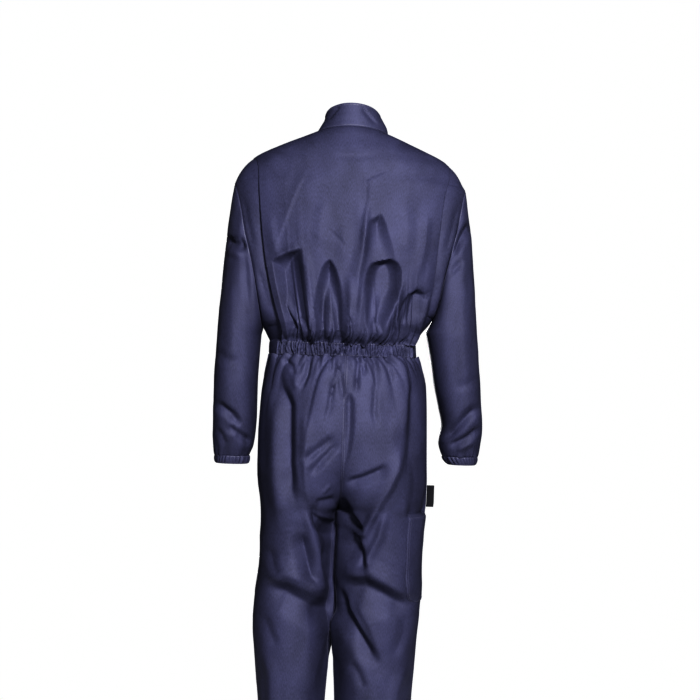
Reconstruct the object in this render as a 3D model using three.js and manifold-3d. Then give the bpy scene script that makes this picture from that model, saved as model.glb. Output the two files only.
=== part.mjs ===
// Boiler suit in the shape it has when worn.
// Millimetres, +Z up. The front faces -Y and the wearer's left is +X.
// The origin is the middle of the neck opening, where the wearer's shoulders hold the suit.

import * as THREE from 'three'
import { mergeVertices } from 'three/addons/utils/BufferGeometryUtils.js'
import Module from 'manifold-3d'

const wasm = await Module()
wasm.setup()

// Driving sizes

const cloth = 1.6
const seam = 0.3
const waistTop = -458
const waistBottom = -487
const crotch = -822
const hem = -1595
const cuffHeight = 18
const frontEdge = 3.4
const zipEnd = -700
const backColumns = 48
const legColumns = 22
const sleeveColumns = 18
const gatherDepth = 2.4
const quarter = Math.PI / 2

function table(names, rows) {
  return rows.map(row => Object.fromEntries(names.map((name, column) => [name, row[column]])))
}

// Level sections from the top down. left and right are half widths from the middle, back and
// front are depths, lean tips a section forward, and square is 2 for an ellipse.

const torsoSections = table(
  ['z', 'left', 'right', 'back', 'front', 'lean', 'square'],
  [
    [-5, 79, 81, 60, 76, 0.30, 2.0],
    [-18, 113, 115, 68, 80, 0.28, 2.0],
    [-40, 168, 165, 78, 86, 0.26, 2.0],
    [-62, 212, 210, 88, 92, 0.24, 2.0],
    [-84, 235, 234, 96, 98, 0.20, 2.1],
    [-106, 248, 247, 102, 103, 0.17, 2.1],
    [-128, 255, 258, 107, 109, 0.13, 2.2],
    [-160, 258, 259, 113, 116, 0.08, 2.2],
    [-200, 256, 255, 119, 122, 0.03, 2.3],
    [-260, 248, 246, 124, 127, 0.0, 2.3],
    [-310, 236, 234, 127, 129, 0.0, 2.3],
    [-350, 222, 219, 130, 130, 0.0, 2.3],
    [-385, 206, 203, 133, 131, 0.0, 2.3],
    [-415, 189, 182, 136, 131, 0.0, 2.3],
    [-433, 178, 167, 134, 128, 0.0, 2.2],
    [-446, 171, 160, 124, 122, 0.0, 2.2],
    [waistTop, 166, 156, 106, 116, 0.0, 2.2],
    [waistBottom, 166, 158, 104, 115, 0.0, 2.2],
  ],
)

// The armhole seam on each side, as a distance from the middle

const armholeSeam = table(
  ['z', 'left', 'right'],
  [
    [-110, 256, 256],
    [-126, 249, 252],
    [-166, 237, 244],
    [-222, 224, 233],
    [-302, 203, 214],
    [-386, 187, 198],
    [-430, 180, 180],
    [-450, 176, 172],
  ],
)

// The folded edge of the centre back over each pleat

const pleatEdge = table(
  ['z', 'left', 'right'],
  [
    [-66, 203, 217],
    [-97, 198, 216],
    [-142, 194, 206],
    [-241, 182, 195],
    [-310, 171, 189],
    [-382, 153, 180],
    [-433, 138, 160],
    [waistTop, 134, 146],
  ],
)

// Each trouser leg: outer and inner are distances from the middle, inner is below zero where
// the two legs share the seat

const legSections = {
  left: table(
    ['z', 'outer', 'inner', 'back', 'front', 'square'],
    [
      [waistBottom, 166, -158, 104, 115, 2.2],
      [-500, 169, -156, 113, 117, 2.2],
      [-540, 175, -150, 125, 120, 2.2],
      [-600, 180, -130, 134, 121, 2.2],
      [-660, 182, -100, 139, 118, 2.2],
      [-720, 182, -66, 138, 114, 2.2],
      [-770, 179, -34, 131, 110, 2.2],
      [-800, 175, -14, 125, 107, 2.2],
      [crotch, 173, 1.2, 119, 105, 2.2],
      [-870, 171, 2.5, 111, 101, 2.2],
      [-940, 173, 4, 105, 98, 2.2],
      [-1014, 180, 6, 102, 96, 2.2],
      [-1080, 181, 10, 100, 94, 2.2],
      [-1135, 177, 14, 98, 92, 2.2],
      [-1225, 167, 20, 94, 89, 2.1],
      [-1400, 158, 28, 89, 86, 2.1],
      [hem, 153, 34, 86, 84, 2.1],
    ],
  ),
  right: table(
    ['z', 'outer', 'inner', 'back', 'front', 'square'],
    [
      [waistBottom, 158, -166, 104, 115, 2.2],
      [-500, 166, -162, 113, 117, 2.2],
      [-540, 178, -152, 125, 120, 2.2],
      [-600, 184, -130, 134, 121, 2.2],
      [-660, 186, -100, 139, 118, 2.2],
      [-720, 188, -66, 138, 114, 2.2],
      [-770, 190, -34, 131, 110, 2.2],
      [-800, 190, -14, 125, 107, 2.2],
      [crotch, 188, 1.2, 119, 105, 2.2],
      [-870, 184, 0, 111, 101, 2.2],
      [-940, 183, -1, 105, 98, 2.2],
      [-1014, 183, -2, 102, 96, 2.2],
      [-1080, 178, -3, 100, 94, 2.2],
      [-1135, 175, -4, 98, 92, 2.2],
      [-1225, 169, 1, 94, 89, 2.1],
      [-1400, 160, 12, 89, 86, 2.1],
      [hem, 152, 24, 86, 84, 2.1],
    ],
  ),
}

// Each sleeve below the armhole: middle is how far the arm hangs to the back

const sleeveSections = {
  left: table(
    ['z', 'outer', 'inner', 'back', 'front', 'middle', 'square'],
    [
      [-445, 279, 184, 74, 74, 2, 2.5],
      [-500, 281, 187, 72, 72, 1, 2.5],
      [-560, 283, 189, 70, 69, -2, 2.5],
      [-620, 283, 189, 65, 65, -8, 2.5],
      [-660, 283, 191, 60, 60, -13, 2.4],
      [-690, 281, 195, 52, 52, -16, 2.3],
      [-712, 279, 203, 43, 43, -18, 2.2],
      [-731, 278, 205, 40, 40, -18, 2.2],
    ],
  ),
  right: table(
    ['z', 'outer', 'inner', 'back', 'front', 'middle', 'square'],
    [
      [-430, 288, 177, 75, 75, 2, 2.5],
      [-486, 293, 189, 73, 73, 1, 2.5],
      [-540, 300, 198, 71, 70, -2, 2.5],
      [-592, 304, 210, 67, 67, -6, 2.5],
      [-632, 307, 218, 62, 62, -11, 2.4],
      [-668, 304, 213, 54, 54, -15, 2.3],
      [-700, 300, 222, 43, 43, -18, 2.2],
      [-719, 297, 235, 38, 38, -18, 2.2],
    ],
  ),
}

const collarSections = table(
  ['row', 'z', 'left', 'right', 'back', 'front', 'lean', 'square'],
  [
    [0, -5, 79, 81, 60, 76, 0.30, 2.0],
    [1, 8, 70, 79, 57, 70, 0.36, 2.0],
    [2, 24, 61, 71, 53, 63, 0.42, 2.0],
    [3, 40, 57, 61, 50, 58, 0.48, 2.0],
  ],
)

// The largest folds. A fold runs through three points, and rises from the cloth by height,
// or sinks where height is below zero.

const foldNames = ['x1', 'z1', 'x2', 'z2', 'x3', 'z3', 'width', 'height']

const backFolds = table(foldNames, [
  [98, -257, 85, -345, 72, -426, 12, 6],
  [124, -285, 112, -360, 98, -426, 14, -7],
  [37, -289, 60, -345, 72, -400, 8, -5],
  [33, -287, 8, -335, -5, -392, 10, -6],
  [37, -360, 33, -400, 30, -436, 14, 4],
  [-66, -194, -64, -232, -62, -271, 12, -5],
  [-44, -278, -93, -272, -118, -322, 10, -5],
  [-118, -322, -98, -364, -80, -420, 9, -6],
  [-72, -300, -60, -360, -52, -420, 14, 5],
  [-38, -227, -31, -291, -28, -420, 9, -5],
  [-48, -124, -33, -191, -24, -302, 10, 4],
  [-140, -345, -126, -380, -114, -420, 11, -6],
  [-140, -345, -152, -380, -158, -420, 11, -4],
  [92, -90, 138, -204, 160, -271, 9, 3],
  [36, -60, -10, -58, -60, -58, 8, -2],
  [-78, -84, -50, -98, -26, -112, 8, -2],
])

const legFolds = table(foldNames, [
  [58, -490, 72, -535, 88, -574, 11, -5],
  [9, -497, 4, -545, 24, -570, 9, -4],
  [-55, -504, -69, -542, -85, -637, 10, -5],
  [-125, -493, -134, -560, -131, -672, 13, 6],
  [-131, -672, -118, -760, -62, -858, 13, 6],
  [128, -518, 117, -609, 108, -697, 15, -7],
  [108, -697, 92, -820, 50, -950, 15, -7],
  [86, -705, 71, -783, 12, -886, 13, 6],
  [81, -713, 50, -690, 16, -662, 9, -4],
  [-8, -768, -60, -738, -112, -722, 11, -5],
  [-8, -806, -50, -850, -112, -740, 11, -5],
  [-116, -781, -95, -859, -67, -946, 13, -7],
  [160, -996, 108, -974, 20, -1024, 15, -9],
  [-14, -990, -75, -970, -160, -1021, 15, -9],
  [-24, -1020, -57, -1084, -92, -1139, 15, -9],
  [18, -1062, 44, -1110, 58, -1210, 14, -7],
  [-165, -693, -172, -750, -180, -810, 12, -5],
  [150, -1110, 120, -1180, 110, -1260, 14, 6],
  [-150, -1120, -130, -1200, -120, -1290, 14, 6],
  [60, -1290, 90, -1340, 120, -1360, 14, -6],
  [-50, -1300, -85, -1345, -120, -1360, 14, -6],
])

const sleeveFolds = table(foldNames, [
  [262, -243, 240, -247, 222, -256, 12, -6],
  [221, -265, 216, -340, 205, -430, 12, -5],
  [-264, -194, -246, -226, -228, -256, 12, -6],
  [-246, -273, -236, -285, -226, -297, 10, -4],
  [-292, -594, -262, -622, -230, -655, 12, -7],
  [-296, -640, -266, -664, -238, -676, 10, -6],
  [270, -610, 248, -616, 230, -640, 12, -6],
  [244, -650, 226, -662, 206, -676, 10, -6],
])

// Interpolation and folds

function along(rows, key, z) {
  let upper = 0
  while (upper < rows.length - 2 && z < rows[upper + 1].z) upper += 1
  const slope = k => (rows[k + 1][key] - rows[k][key]) / (rows[k + 1].z - rows[k].z)
  const tangent = k => {
    if (k === 0) return slope(0)
    if (k === rows.length - 1) return slope(k - 1)
    const before = slope(k - 1)
    const after = slope(k)
    return before * after <= 0 ? 0 : 2 * before * after / (before + after)
  }
  const span = rows[upper + 1].z - rows[upper].z
  const t = Math.min(1, Math.max(0, (z - rows[upper].z) / span))
  const start = rows[upper][key]
  const end = rows[upper + 1][key]
  return start * (1 + 2 * t) * (1 - t) ** 2 + tangent(upper) * span * t * (1 - t) ** 2
    + end * t * t * (3 - 2 * t) + tangent(upper + 1) * span * t * t * (t - 1)
}

function sectionAt(rows, z) {
  const section = Object.fromEntries(Object.keys(rows[0]).map(key => [key, along(rows, key, z)]))
  section.z = z
  return section
}

function distanceToPiece(x, z, x1, z1, x2, z2) {
  const dx = x2 - x1
  const dz = z2 - z1
  const t = ((x - x1) * dx + (z - z1) * dz) / (dx * dx + dz * dz)
  const near = Math.min(1, Math.max(0, t))
  return Math.hypot(x - x1 - near * dx, z - z1 - near * dz)
}

function foldHeight(folds, x, z) {
  return folds.reduce((sum, fold) => {
    const first = distanceToPiece(x, z, fold.x1, fold.z1, fold.x2, fold.z2)
    const second = distanceToPiece(x, z, fold.x2, fold.z2, fold.x3, fold.z3)
    const away = Math.min(first, second) / fold.width
    return sum + fold.height * Math.exp(-away * away)
  }, 0)
}

// A point on a superellipse with its outward direction in the section's own plane.
// angle is 0 at the wearer's left and a quarter turn at the back.

function sectionPoint(section, angle) {
  const c = Math.cos(angle)
  const s = Math.sin(angle)
  const power = 2 / section.square
  const wide = c > 0 ? section.left : section.right
  const deep = s > 0 ? section.back : section.front
  const x = wide * Math.sign(c) * Math.abs(c) ** power
  const y = deep * Math.sign(s) * Math.abs(s) ** power
  return new THREE.Vector3(x, y, section.z + (section.lean ?? 0) * y)
}

function outwardInPlane(section, angle) {
  const c = Math.cos(angle)
  const s = Math.sin(angle)
  const power = 2 - 2 / section.square
  const wide = c > 0 ? section.left : section.right
  const deep = s > 0 ? section.back : section.front
  const x = Math.sign(c) * Math.abs(c) ** power / wide
  const y = Math.sign(s) * Math.abs(s) ** power / deep
  return new THREE.Vector3(x, y, 0).normalize()
}

function turnAtWidth(part, whole, square) {
  return Math.acos(Math.min(1, Math.max(-1, Math.sign(part) * (Math.abs(part) / whole) ** (square / 2))))
}

function turnAtDepth(part, whole, square) {
  return Math.asin(Math.min(1, (part / whole) ** (square / 2)))
}

function backOnly(angle) {
  return Math.min(1, Math.max(0, Math.sin(angle) / 0.4))
}

// The smooth forms that every panel is cut from

function torsoPoint(angle, z) {
  const point = sectionPoint(sectionAt(torsoSections, z), angle)
  point.y += backOnly(angle) * foldHeight(backFolds, point.x, point.z)
  return point
}

function collarPoint(angle, row) {
  const rows = collarSections
  const lower = Math.min(rows.length - 2, Math.max(0, Math.floor(row)))
  const t = row - lower
  const mix = key => rows[lower][key] * (1 - t) + rows[lower + 1][key] * t
  return sectionPoint(Object.fromEntries(Object.keys(rows[0]).map(key => [key, mix(key)])), angle)
}

function signOf(side) {
  return side === 'left' ? 1 : -1
}

// On a leg or a sleeve the angle is 0 at the outer side and a half turn at the inner side

function legRing(side, z) {
  const section = sectionAt(legSections[side], z)
  section.centre = (section.outer + section.inner) / 2
  section.left = (section.outer - section.inner) / 2
  section.right = section.left
  return section
}

function legPoint(side, angle, z) {
  const section = legRing(side, z)
  const point = sectionPoint(section, angle)
  point.x = signOf(side) * (point.x + section.centre)
  point.y += backOnly(angle) * foldHeight(legFolds, point.x, z)
  return point
}

function sleeveRingPoint(side, angle, z) {
  const section = sectionAt(sleeveSections[side], z)
  const centre = (section.outer + section.inner) / 2
  section.left = (section.outer - section.inner) / 2
  section.right = section.left
  const point = sectionPoint(section, angle)
  point.x = signOf(side) * (point.x + centre)
  point.y += section.middle + backOnly(angle) * foldHeight(sleeveFolds, point.x, z)
  return point
}

function normalOf(surface, angle, z, side = 'left') {
  const step = 0.01
  const across = surface(angle + step, z).sub(surface(angle - step, z))
  const down = surface(angle, z - 1).sub(surface(angle, z + 1))
  return across.cross(down).normalize().multiplyScalar(-signOf(side))
}

// The armhole: where its seam meets the top and the bottom of the torso's outline,
// its points, and the way the cut edge of the cloth faces

function armhole(side, setBack) {
  const seamX = z => along(armholeSeam, side, z) - setBack
  const outlineX = z => along(torsoSections, side, z)
  const crossing = (high, low) => {
    const startsOutside = outlineX(high) > seamX(high)
    for (let step = 0; step < 40; step += 1) {
      const middle = (high + low) / 2
      if ((outlineX(middle) > seamX(middle)) === startsOutside) high = middle
      else low = middle
    }
    return (high + low) / 2
  }
  const top = crossing(-100, -200)
  const bottom = crossing(-300, -450)
  const heightAt = turn => top + (bottom - top) * (1 - Math.cos(turn)) / 2
  const angleAt = turn => {
    const z = heightAt(turn)
    const section = sectionAt(torsoSections, z)
    const fromSide = turnAtWidth(seamX(z), section[side], section.square)
    const face = Math.sin(turn) >= 0 ? 1 : -1
    return side === 'left' ? face * fromSide : Math.PI - face * fromSide
  }
  const pointAt = turn => torsoPoint(angleAt(turn), heightAt(turn))
  return { top, bottom, heightAt, angleAt, pointAt }
}

const armholes = {
  left: { body: armhole('left', 0.35), sleeve: armhole('left', 0) },
  right: { body: armhole('right', 0.35), sleeve: armhole('right', 0) },
}

const armTurns = Array.from({ length: sleeveColumns }, (_, k) => 2 * Math.PI * k / sleeveColumns)

function armholeInward(side, turn) {
  const hole = armholes[side].sleeve
  const point = hole.pointAt(turn)
  const tangent = hole.pointAt(turn + 0.02).sub(hole.pointAt(turn - 0.02)).normalize()
  const middle = hole.pointAt(quarter).add(hole.pointAt(-quarter)).multiplyScalar(0.5)
  const toMiddle = middle.sub(point).normalize().multiplyScalar(0.6)
  const body = normalOf(torsoPoint, hole.angleAt(turn), hole.heightAt(turn))
  const next = sleeveFanPoint(side, turn, 0.05).sub(point)
  const arm = next.cross(tangent).normalize().multiplyScalar(signOf(side))
  const inward = toMiddle.sub(body).sub(arm)
  return inward.addScaledVector(tangent, -inward.dot(tangent)).normalize()
}

// Between the armhole and the first level section the sleeve fans out.
// turn is 0 on top of the shoulder, a quarter turn at the back and a half turn underarm.

function sleeveFanPoint(side, turn, t) {
  const start = armholes[side].sleeve.pointAt(turn)
  const top = sleeveSections[side][0].z
  const end = sleeveRingPoint(side, turn, top)
  const bulge = 4 * Math.sin(Math.PI * t)
  const point = start.lerp(end, t)
  point.x += signOf(side) * bulge * Math.max(0, Math.cos(turn))
  point.y += bulge * Math.sin(turn)
  if (Math.sin(turn) > 0) {
    point.y += Math.sin(turn) * Math.sin(Math.PI * t) * foldHeight(sleeveFolds, point.x, point.z)
  }
  return point
}

// Walls of cloth. outer and inner are grids of points, row by row.

function wallGeometry(outer, inner, looped = false) {
  const rows = outer.length
  const columns = outer[0].length
  const points = [...outer.flat(), ...inner.flat()]
  const at = (layer, row, column) => layer * rows * columns + row * columns + column % columns
  const triangles = []
  const quad = (a, b, c, d) => {
    const acrossFirst = points[a].distanceTo(points[c]) <= points[b].distanceTo(points[d])
    if (acrossFirst) triangles.push(a, b, c, a, c, d)
    else triangles.push(a, b, d, b, c, d)
  }
  const steps = looped ? columns : columns - 1
  for (let row = 0; row < rows - 1; row += 1) {
    for (let column = 0; column < steps; column += 1) {
      const next = column + 1
      quad(at(0, row, column), at(0, row + 1, column), at(0, row + 1, next), at(0, row, next))
      quad(at(1, row, column), at(1, row, next), at(1, row + 1, next), at(1, row + 1, column))
    }
  }
  for (let column = 0; column < steps; column += 1) {
    const next = column + 1
    const last = rows - 1
    quad(at(0, 0, column), at(0, 0, next), at(1, 0, next), at(1, 0, column))
    quad(at(0, last, column), at(1, last, column), at(1, last, next), at(0, last, next))
  }
  if (!looped) {
    for (let row = 0; row < rows - 1; row += 1) {
      const last = columns - 1
      quad(at(0, row, 0), at(1, row, 0), at(1, row + 1, 0), at(0, row + 1, 0))
      quad(at(0, row, last), at(0, row + 1, last), at(1, row + 1, last), at(1, row, last))
    }
  }
  return closedGeometry(points, triangles)
}

function closedGeometry(points, triangles) {
  let volume = 0
  for (let k = 0; k < triangles.length; k += 3) {
    const [a, b, c] = [0, 1, 2].map(corner => points[triangles[k + corner]])
    volume += a.dot(b.clone().cross(c))
  }
  const index = volume > 0 ? triangles : triangles.toReversed()
  const geometry = new THREE.BufferGeometry()
  geometry.setAttribute('position', new THREE.Float32BufferAttribute(points.flatMap(p => [p.x, p.y, p.z]), 3))
  geometry.setIndex(index)
  geometry.computeVertexNormals()
  return geometry
}

function inset(points, normals, depth) {
  return points.map((row, r) => row.map((point, c) => point.clone().addScaledVector(normals[r][c], -depth)))
}

function ladder(start, end, count) {
  return Array.from({ length: count + 1 }, (_, k) => start + (end - start) * k / count)
}

// A gather stands out at every second column and sinks between, unevenly

function gather(column, columns, nearness) {
  const edge = column === 0 || column === columns ? 0 : 1
  const uneven = 0.7 + 0.3 * Math.sin(2.7 * column) * Math.cos(1.3 * column)
  return edge * gatherDepth * uneven * nearness * (column % 2 === 0 ? 1 : -1)
}

// Materials

const navy = new THREE.MeshStandardMaterial({ color: 0x33335a, roughness: 0.82, metalness: 0 })
const navyBand = new THREE.MeshStandardMaterial({ color: 0x2d2d52, roughness: 0.85, metalness: 0 })
const black = new THREE.MeshStandardMaterial({ color: 0x15151a, roughness: 0.7, metalness: 0 })
const tapeNavy = new THREE.MeshStandardMaterial({ color: 0x24243f, roughness: 0.8, metalness: 0 })
const nylon = new THREE.MeshStandardMaterial({ color: 0x2a2a45, roughness: 0.5, metalness: 0 })
const nickel = new THREE.MeshStandardMaterial({ color: 0x9a9aa2, roughness: 0.35, metalness: 1 })

const suit = new THREE.Group()

function add(name, geometry, material) {
  const mesh = new THREE.Mesh(geometry, material)
  mesh.name = name
  suit.add(mesh)
}

// Rows of height that neighbouring panels share

const shoulderRows = [-5, -24, -44, -66, -90]
const torsoRows = side => {
  const { top, bottom } = armholes[side].body
  const turns = armTurns.slice(1, sleeveColumns / 2)
  const beside = turns.map(turn => armholes[side].body.heightAt(turn))
  return [...shoulderRows, top, ...beside, bottom, -446, waistTop]
}
const legRows = [waistBottom, -497, -512, -540, -580, -625, -675, -725, -770, -800, crotch,
  -862, -912, -965, -1015, -1062, -1110, -1170, -1260, -1400, hem]

// The edge of a torso panel at the shoulder seam, the armhole or the side seam

function torsoSideEdge(side, face, z) {
  const section = sectionAt(torsoSections, z)
  const deep = face > 0 ? section.back : section.front
  let fromSide = turnAtDepth(seam / 2, deep, section.square)
  const hole = armholes[side].body
  if (z < hole.top && z > hole.bottom) {
    fromSide = turnAtWidth(along(armholeSeam, side, z) - 0.35, section[side], section.square)
  }
  return side === 'left' ? face * fromSide : Math.PI - face * fromSide
}

function armholeEdgeInward(side, face, z) {
  const hole = armholes[side].body
  if (z > hole.top + 0.01 || z < hole.bottom - 0.01) return null
  const part = Math.min(1, Math.max(-1, 1 - 2 * (z - hole.top) / (hole.bottom - hole.top)))
  return armholeInward(side, face * Math.acos(part))
}

// Centre back, with its folded edges over the pleats

function pleatAngle(side, z) {
  if (z > -67) return torsoSideEdge(side, 1, z)
  const section = sectionAt(torsoSections, z)
  const fromSide = turnAtWidth(along(pleatEdge, side, z), section[side], section.square)
  return side === 'left' ? fromSide : Math.PI - fromSide
}

const centreRows = [...shoulderRows, -122, -158, -196, -232, -268, -304, -338, -368,
  -394, -416, -434, -447, waistTop]

function backCentre() {
  const outer = []
  const normals = []
  for (const z of centreRows) {
    const angles = ladder(pleatAngle('left', z), pleatAngle('right', z), backColumns)
    const nearBand = Math.exp((waistTop - z) / 22)
    outer.push(angles.map((angle, column) => {
      const direction = outwardInPlane(sectionAt(torsoSections, z), angle)
      const point = torsoPoint(angle, z)
      return point.addScaledVector(direction, gather(column, backColumns, nearBand))
    }))
    normals.push(angles.map(angle => normalOf(torsoPoint, angle, z)))
  }
  return wallGeometry(outer, inset(outer, normals, cloth))
}

add('back_centre', backCentre(), navy)

// Back side strips, which pass under the centre back to form the pleats

const pleatUnderlap = 12
const pleatRecess = 5

function backSide(side) {
  const outer = []
  const inner = []
  for (const z of torsoRows(side).filter(height => height < -60)) {
    const section = sectionAt(torsoSections, z)
    const sideAngle = torsoSideEdge(side, 1, z)
    const angleAtWidth = width => {
      const fromSide = turnAtWidth(width, section[side], section.square)
      return side === 'left' ? fromSide : Math.PI - fromSide
    }
    const edge = z > -67 ? section[side] - 3 : along(pleatEdge, side, z) + 2
    const edgeAngle = angleAtWidth(edge)
    const underAngle = angleAtWidth(edge - 2 - pleatUnderlap)
    const spread = t => sideAngle + (edgeAngle - sideAngle) * t
    const angles = [sideAngle, spread(0.35), spread(0.7), edgeAngle, underAngle]
    const first = z > -67 ? 6.5 : 0
    const depths = [first, first + 1.2, first + 3, pleatRecess + first / 2, pleatRecess + 2 + first / 2]
    const rowNormals = angles.map(angle => normalOf(torsoPoint, angle, z))
    const points = angles.map((angle, k) => torsoPoint(angle, z).addScaledVector(rowNormals[k], -depths[k]))
    const edgeInward = armholeEdgeInward(side, 1, z)
    outer.push(points)
    inner.push(points.map((point, k) => {
      const inward = k === 0 && edgeInward ? edgeInward : rowNormals[k].clone().negate()
      return point.clone().addScaledVector(inward, cloth)
    }))
  }
  return wallGeometry(outer, inner)
}

add('back_side_left', backSide('left'), navy)
add('back_side_right', backSide('right'), navy)

// Fronts

const frontColumns = 9

function front(side) {
  const outer = []
  const inner = []
  for (const z of torsoRows(side)) {
    const section = sectionAt(torsoSections, z)
    const start = torsoSideEdge(side, -1, z)
    const fromSide = turnAtWidth(frontEdge, section[side], section.square)
    const end = side === 'left' ? -fromSide : Math.PI + fromSide
    const angles = ladder(start, end, frontColumns)
    const edgeInward = armholeEdgeInward(side, -1, z)
    const points = angles.map(angle => torsoPoint(angle, z))
    outer.push(points)
    inner.push(points.map((point, k) => {
      const inward = k === 0 && edgeInward ? edgeInward : normalOf(torsoPoint, angles[k], z).negate()
      return point.clone().addScaledVector(inward, cloth)
    }))
  }
  return wallGeometry(outer, inner)
}

add('front_left', front('left'), navy)
add('front_right', front('right'), navy)

// Sleeves, gathered into the cuffs

const fanSteps = [0, 0.1, 0.25, 0.42, 0.6, 0.8, 1]

function sleeve(side) {
  const sections = sleeveSections[side]
  const top = sections[0].z
  const bottom = sections.at(-2).z
  const rows = [...ladder(top, bottom + 46, 4).slice(1), bottom + 20, bottom]
  const outer = fanSteps.map(t => armTurns.map(turn => sleeveFanPoint(side, turn, t)))
  const inner = fanSteps.map((t, row) => armTurns.map((turn, column) => {
    const point = outer[row][column].clone()
    if (row === 0) return point.addScaledVector(armholeInward(side, turn), cloth)
    const across = sleeveFanPoint(side, turn + 0.02, t).sub(sleeveFanPoint(side, turn - 0.02, t))
    const down = sleeveFanPoint(side, turn, Math.min(1, t + 0.05)).sub(sleeveFanPoint(side, turn, t - 0.05))
    const normal = across.cross(down).normalize().multiplyScalar(-signOf(side))
    return point.addScaledVector(normal, -cloth)
  }))
  for (const z of rows) {
    const nearCuff = Math.exp((bottom - z) / 14)
    const surface = (angle, height) => sleeveRingPoint(side, angle, height)
    const points = armTurns.map((turn, column) => {
      const point = surface(turn, z)
      const direction = normalOf(surface, turn, z, side).setZ(0).normalize()
      return point.addScaledVector(direction, gather(column + 1, sleeveColumns + 2, nearCuff))
    })
    outer.push(points)
    inner.push(points.map((point, column) => {
      const normal = normalOf(surface, armTurns[column], z, side)
      return point.clone().addScaledVector(normal, -cloth)
    }))
  }
  return wallGeometry(outer, inner, true)
}

add('sleeve_left', sleeve('left'), navy)
add('sleeve_right', sleeve('right'), navy)

// Elastic cuffs

const cuffColumns = 32

function cuff(side) {
  const top = sleeveSections[side].at(-2).z - seam
  const turns = ladder(0, 2 * Math.PI, cuffColumns).slice(0, -1)
  const surface = (angle, height) => sleeveRingPoint(side, angle, height)
  const outer = [top, top - cuffHeight / 2, top - cuffHeight].map(z => turns.map((turn, column) => {
    const direction = normalOf(surface, turn, z, side).setZ(0).normalize()
    return surface(turn, z).addScaledVector(direction, 0.7 * gather(column + 1, cuffColumns + 2, 1))
      .setZ(z)
  }))
  const normals = outer.map(row => row.map((point, column) =>
    normalOf(surface, turns[column], point.z, side).setZ(0).normalize()))
  return wallGeometry(outer, inset(outer, normals, cloth), true)
}

add('cuff_left', cuff('left'), navyBand)
add('cuff_right', cuff('right'), navyBand)

// Stand collar

const collarColumns = 28

function collarAngle(section, width, side) {
  const fromSide = turnAtWidth(width, section[side], section.square)
  return side === 'left' ? -fromSide : Math.PI + fromSide
}

function collar() {
  const outer = []
  const inner = []
  for (const section of collarSections) {
    const start = collarAngle(section, frontEdge, 'left')
    const end = collarAngle(section, frontEdge, 'right')
    const angles = ladder(start, end, collarColumns)
    const points = angles.map(angle => collarPoint(angle, section.row))
    if (section.row === 0) points.forEach(point => { point.z += seam })
    outer.push(points)
    inner.push(points.map((point, k) => {
      const inward = outwardInPlane(section, angles[k]).negate()
      inward.z = section.lean * inward.y
      return point.clone().addScaledVector(inward.normalize(), cloth)
    }))
  }
  return wallGeometry(outer, inner)
}

add('collar', collar(), navy)

// Waistband: elastic and gathered across the back, plain at the front

const bandRows = [waistTop - seam, (waistTop + waistBottom) / 2, waistBottom + seam]
const elasticEnd = { left: 147, right: 150 }

function bandAngle(side, face, width, z) {
  const section = sectionAt(torsoSections, z)
  const fromSide = turnAtWidth(width, section[side], section.square)
  return side === 'left' ? face * fromSide : Math.PI - face * fromSide
}

function bandWall(rows, anglesAt, wave) {
  const outer = rows.map(z => anglesAt(z).map((angle, column) => {
    const section = sectionAt(torsoSections, z)
    return sectionPoint(section, angle).addScaledVector(outwardInPlane(section, angle), wave(column))
  }))
  const normals = rows.map(z => anglesAt(z).map(angle => outwardInPlane(sectionAt(torsoSections, z), angle)))
  return wallGeometry(outer, inset(outer, normals, cloth))
}

const elasticColumns = 60
const elasticAngles = z => {
  const start = bandAngle('left', 1, elasticEnd.left, z)
  const end = bandAngle('right', 1, elasticEnd.right, z)
  return ladder(start, end, elasticColumns)
}
add('waist_elastic', bandWall(bandRows, elasticAngles, column => gather(column, elasticColumns, 1)), navyBand)

function frontBand(side) {
  const angles = z => {
    const start = bandAngle(side, 1, elasticEnd[side] + seam, z)
    const end = bandAngle(side, -1, frontEdge, z)
    const finish = side === 'left' ? end : end - 2 * Math.PI * Math.floor(end / (2 * Math.PI))
    return ladder(start, finish, 8)
  }
  return bandWall([bandRows[0], bandRows[2]], angles, () => 0)
}

add('waistband_front_left', frontBand('left'), navyBand)
add('waistband_front_right', frontBand('right'), navyBand)

// Trouser panels. Above the crotch a panel ends at the centre seam, below it at the inseam.

function legEndAngle(side, face, z, middleEdge) {
  const ring = legRing(side, z)
  const deep = face > 0 ? ring.back : ring.front
  if (z <= crotch) return Math.PI - turnAtDepth(seam / 2, deep, ring.square)
  return turnAtWidth(middleEdge - ring.centre, ring.left, ring.square)
}

function legPanel(side, face, columns) {
  const surface = (angle, z) => legPoint(side, angle, z)
  const outer = []
  const normals = []
  for (const z of legRows) {
    const ring = legRing(side, z)
    const deep = face > 0 ? ring.back : ring.front
    const middleEdge = face < 0 && z > zipEnd ? frontEdge : seam / 2
    const start = turnAtDepth(seam / 2, deep, ring.square)
    const end = legEndAngle(side, face, z, middleEdge)
    const angles = ladder(start, end, columns).map(angle => face * angle)
    const nearBand = face > 0 ? Math.exp((z - waistBottom) / 20) : 0
    const nearCrotch = Math.min(1, Math.max(0, (-690 - z) / 110))
    outer.push(angles.map((angle, column) => {
      const direction = outwardInPlane(ring, angle)
      direction.x *= signOf(side)
      return surface(angle, z).addScaledVector(direction, gather(column, columns, nearBand))
    }))
    normals.push(angles.map((angle, column) => {
      const normal = normalOf(surface, angle, z, side)
      if (column < columns || z < crotch) return normal
      return normal.setX(0).add(new THREE.Vector3(0, 0, -0.35 * nearCrotch)).normalize()
    }))
  }
  return { outer, normals }
}

const legPanels = {
  trouser_back_left: legPanel('left', 1, legColumns),
  trouser_back_right: legPanel('right', 1, legColumns),
  trouser_front_left: legPanel('left', -1, 8),
  trouser_front_right: legPanel('right', -1, 8),
}

for (const [name, panel] of Object.entries(legPanels)) {
  add(name, wallGeometry(panel.outer, inset(panel.outer, panel.normals, cloth)), navy)
}

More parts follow.
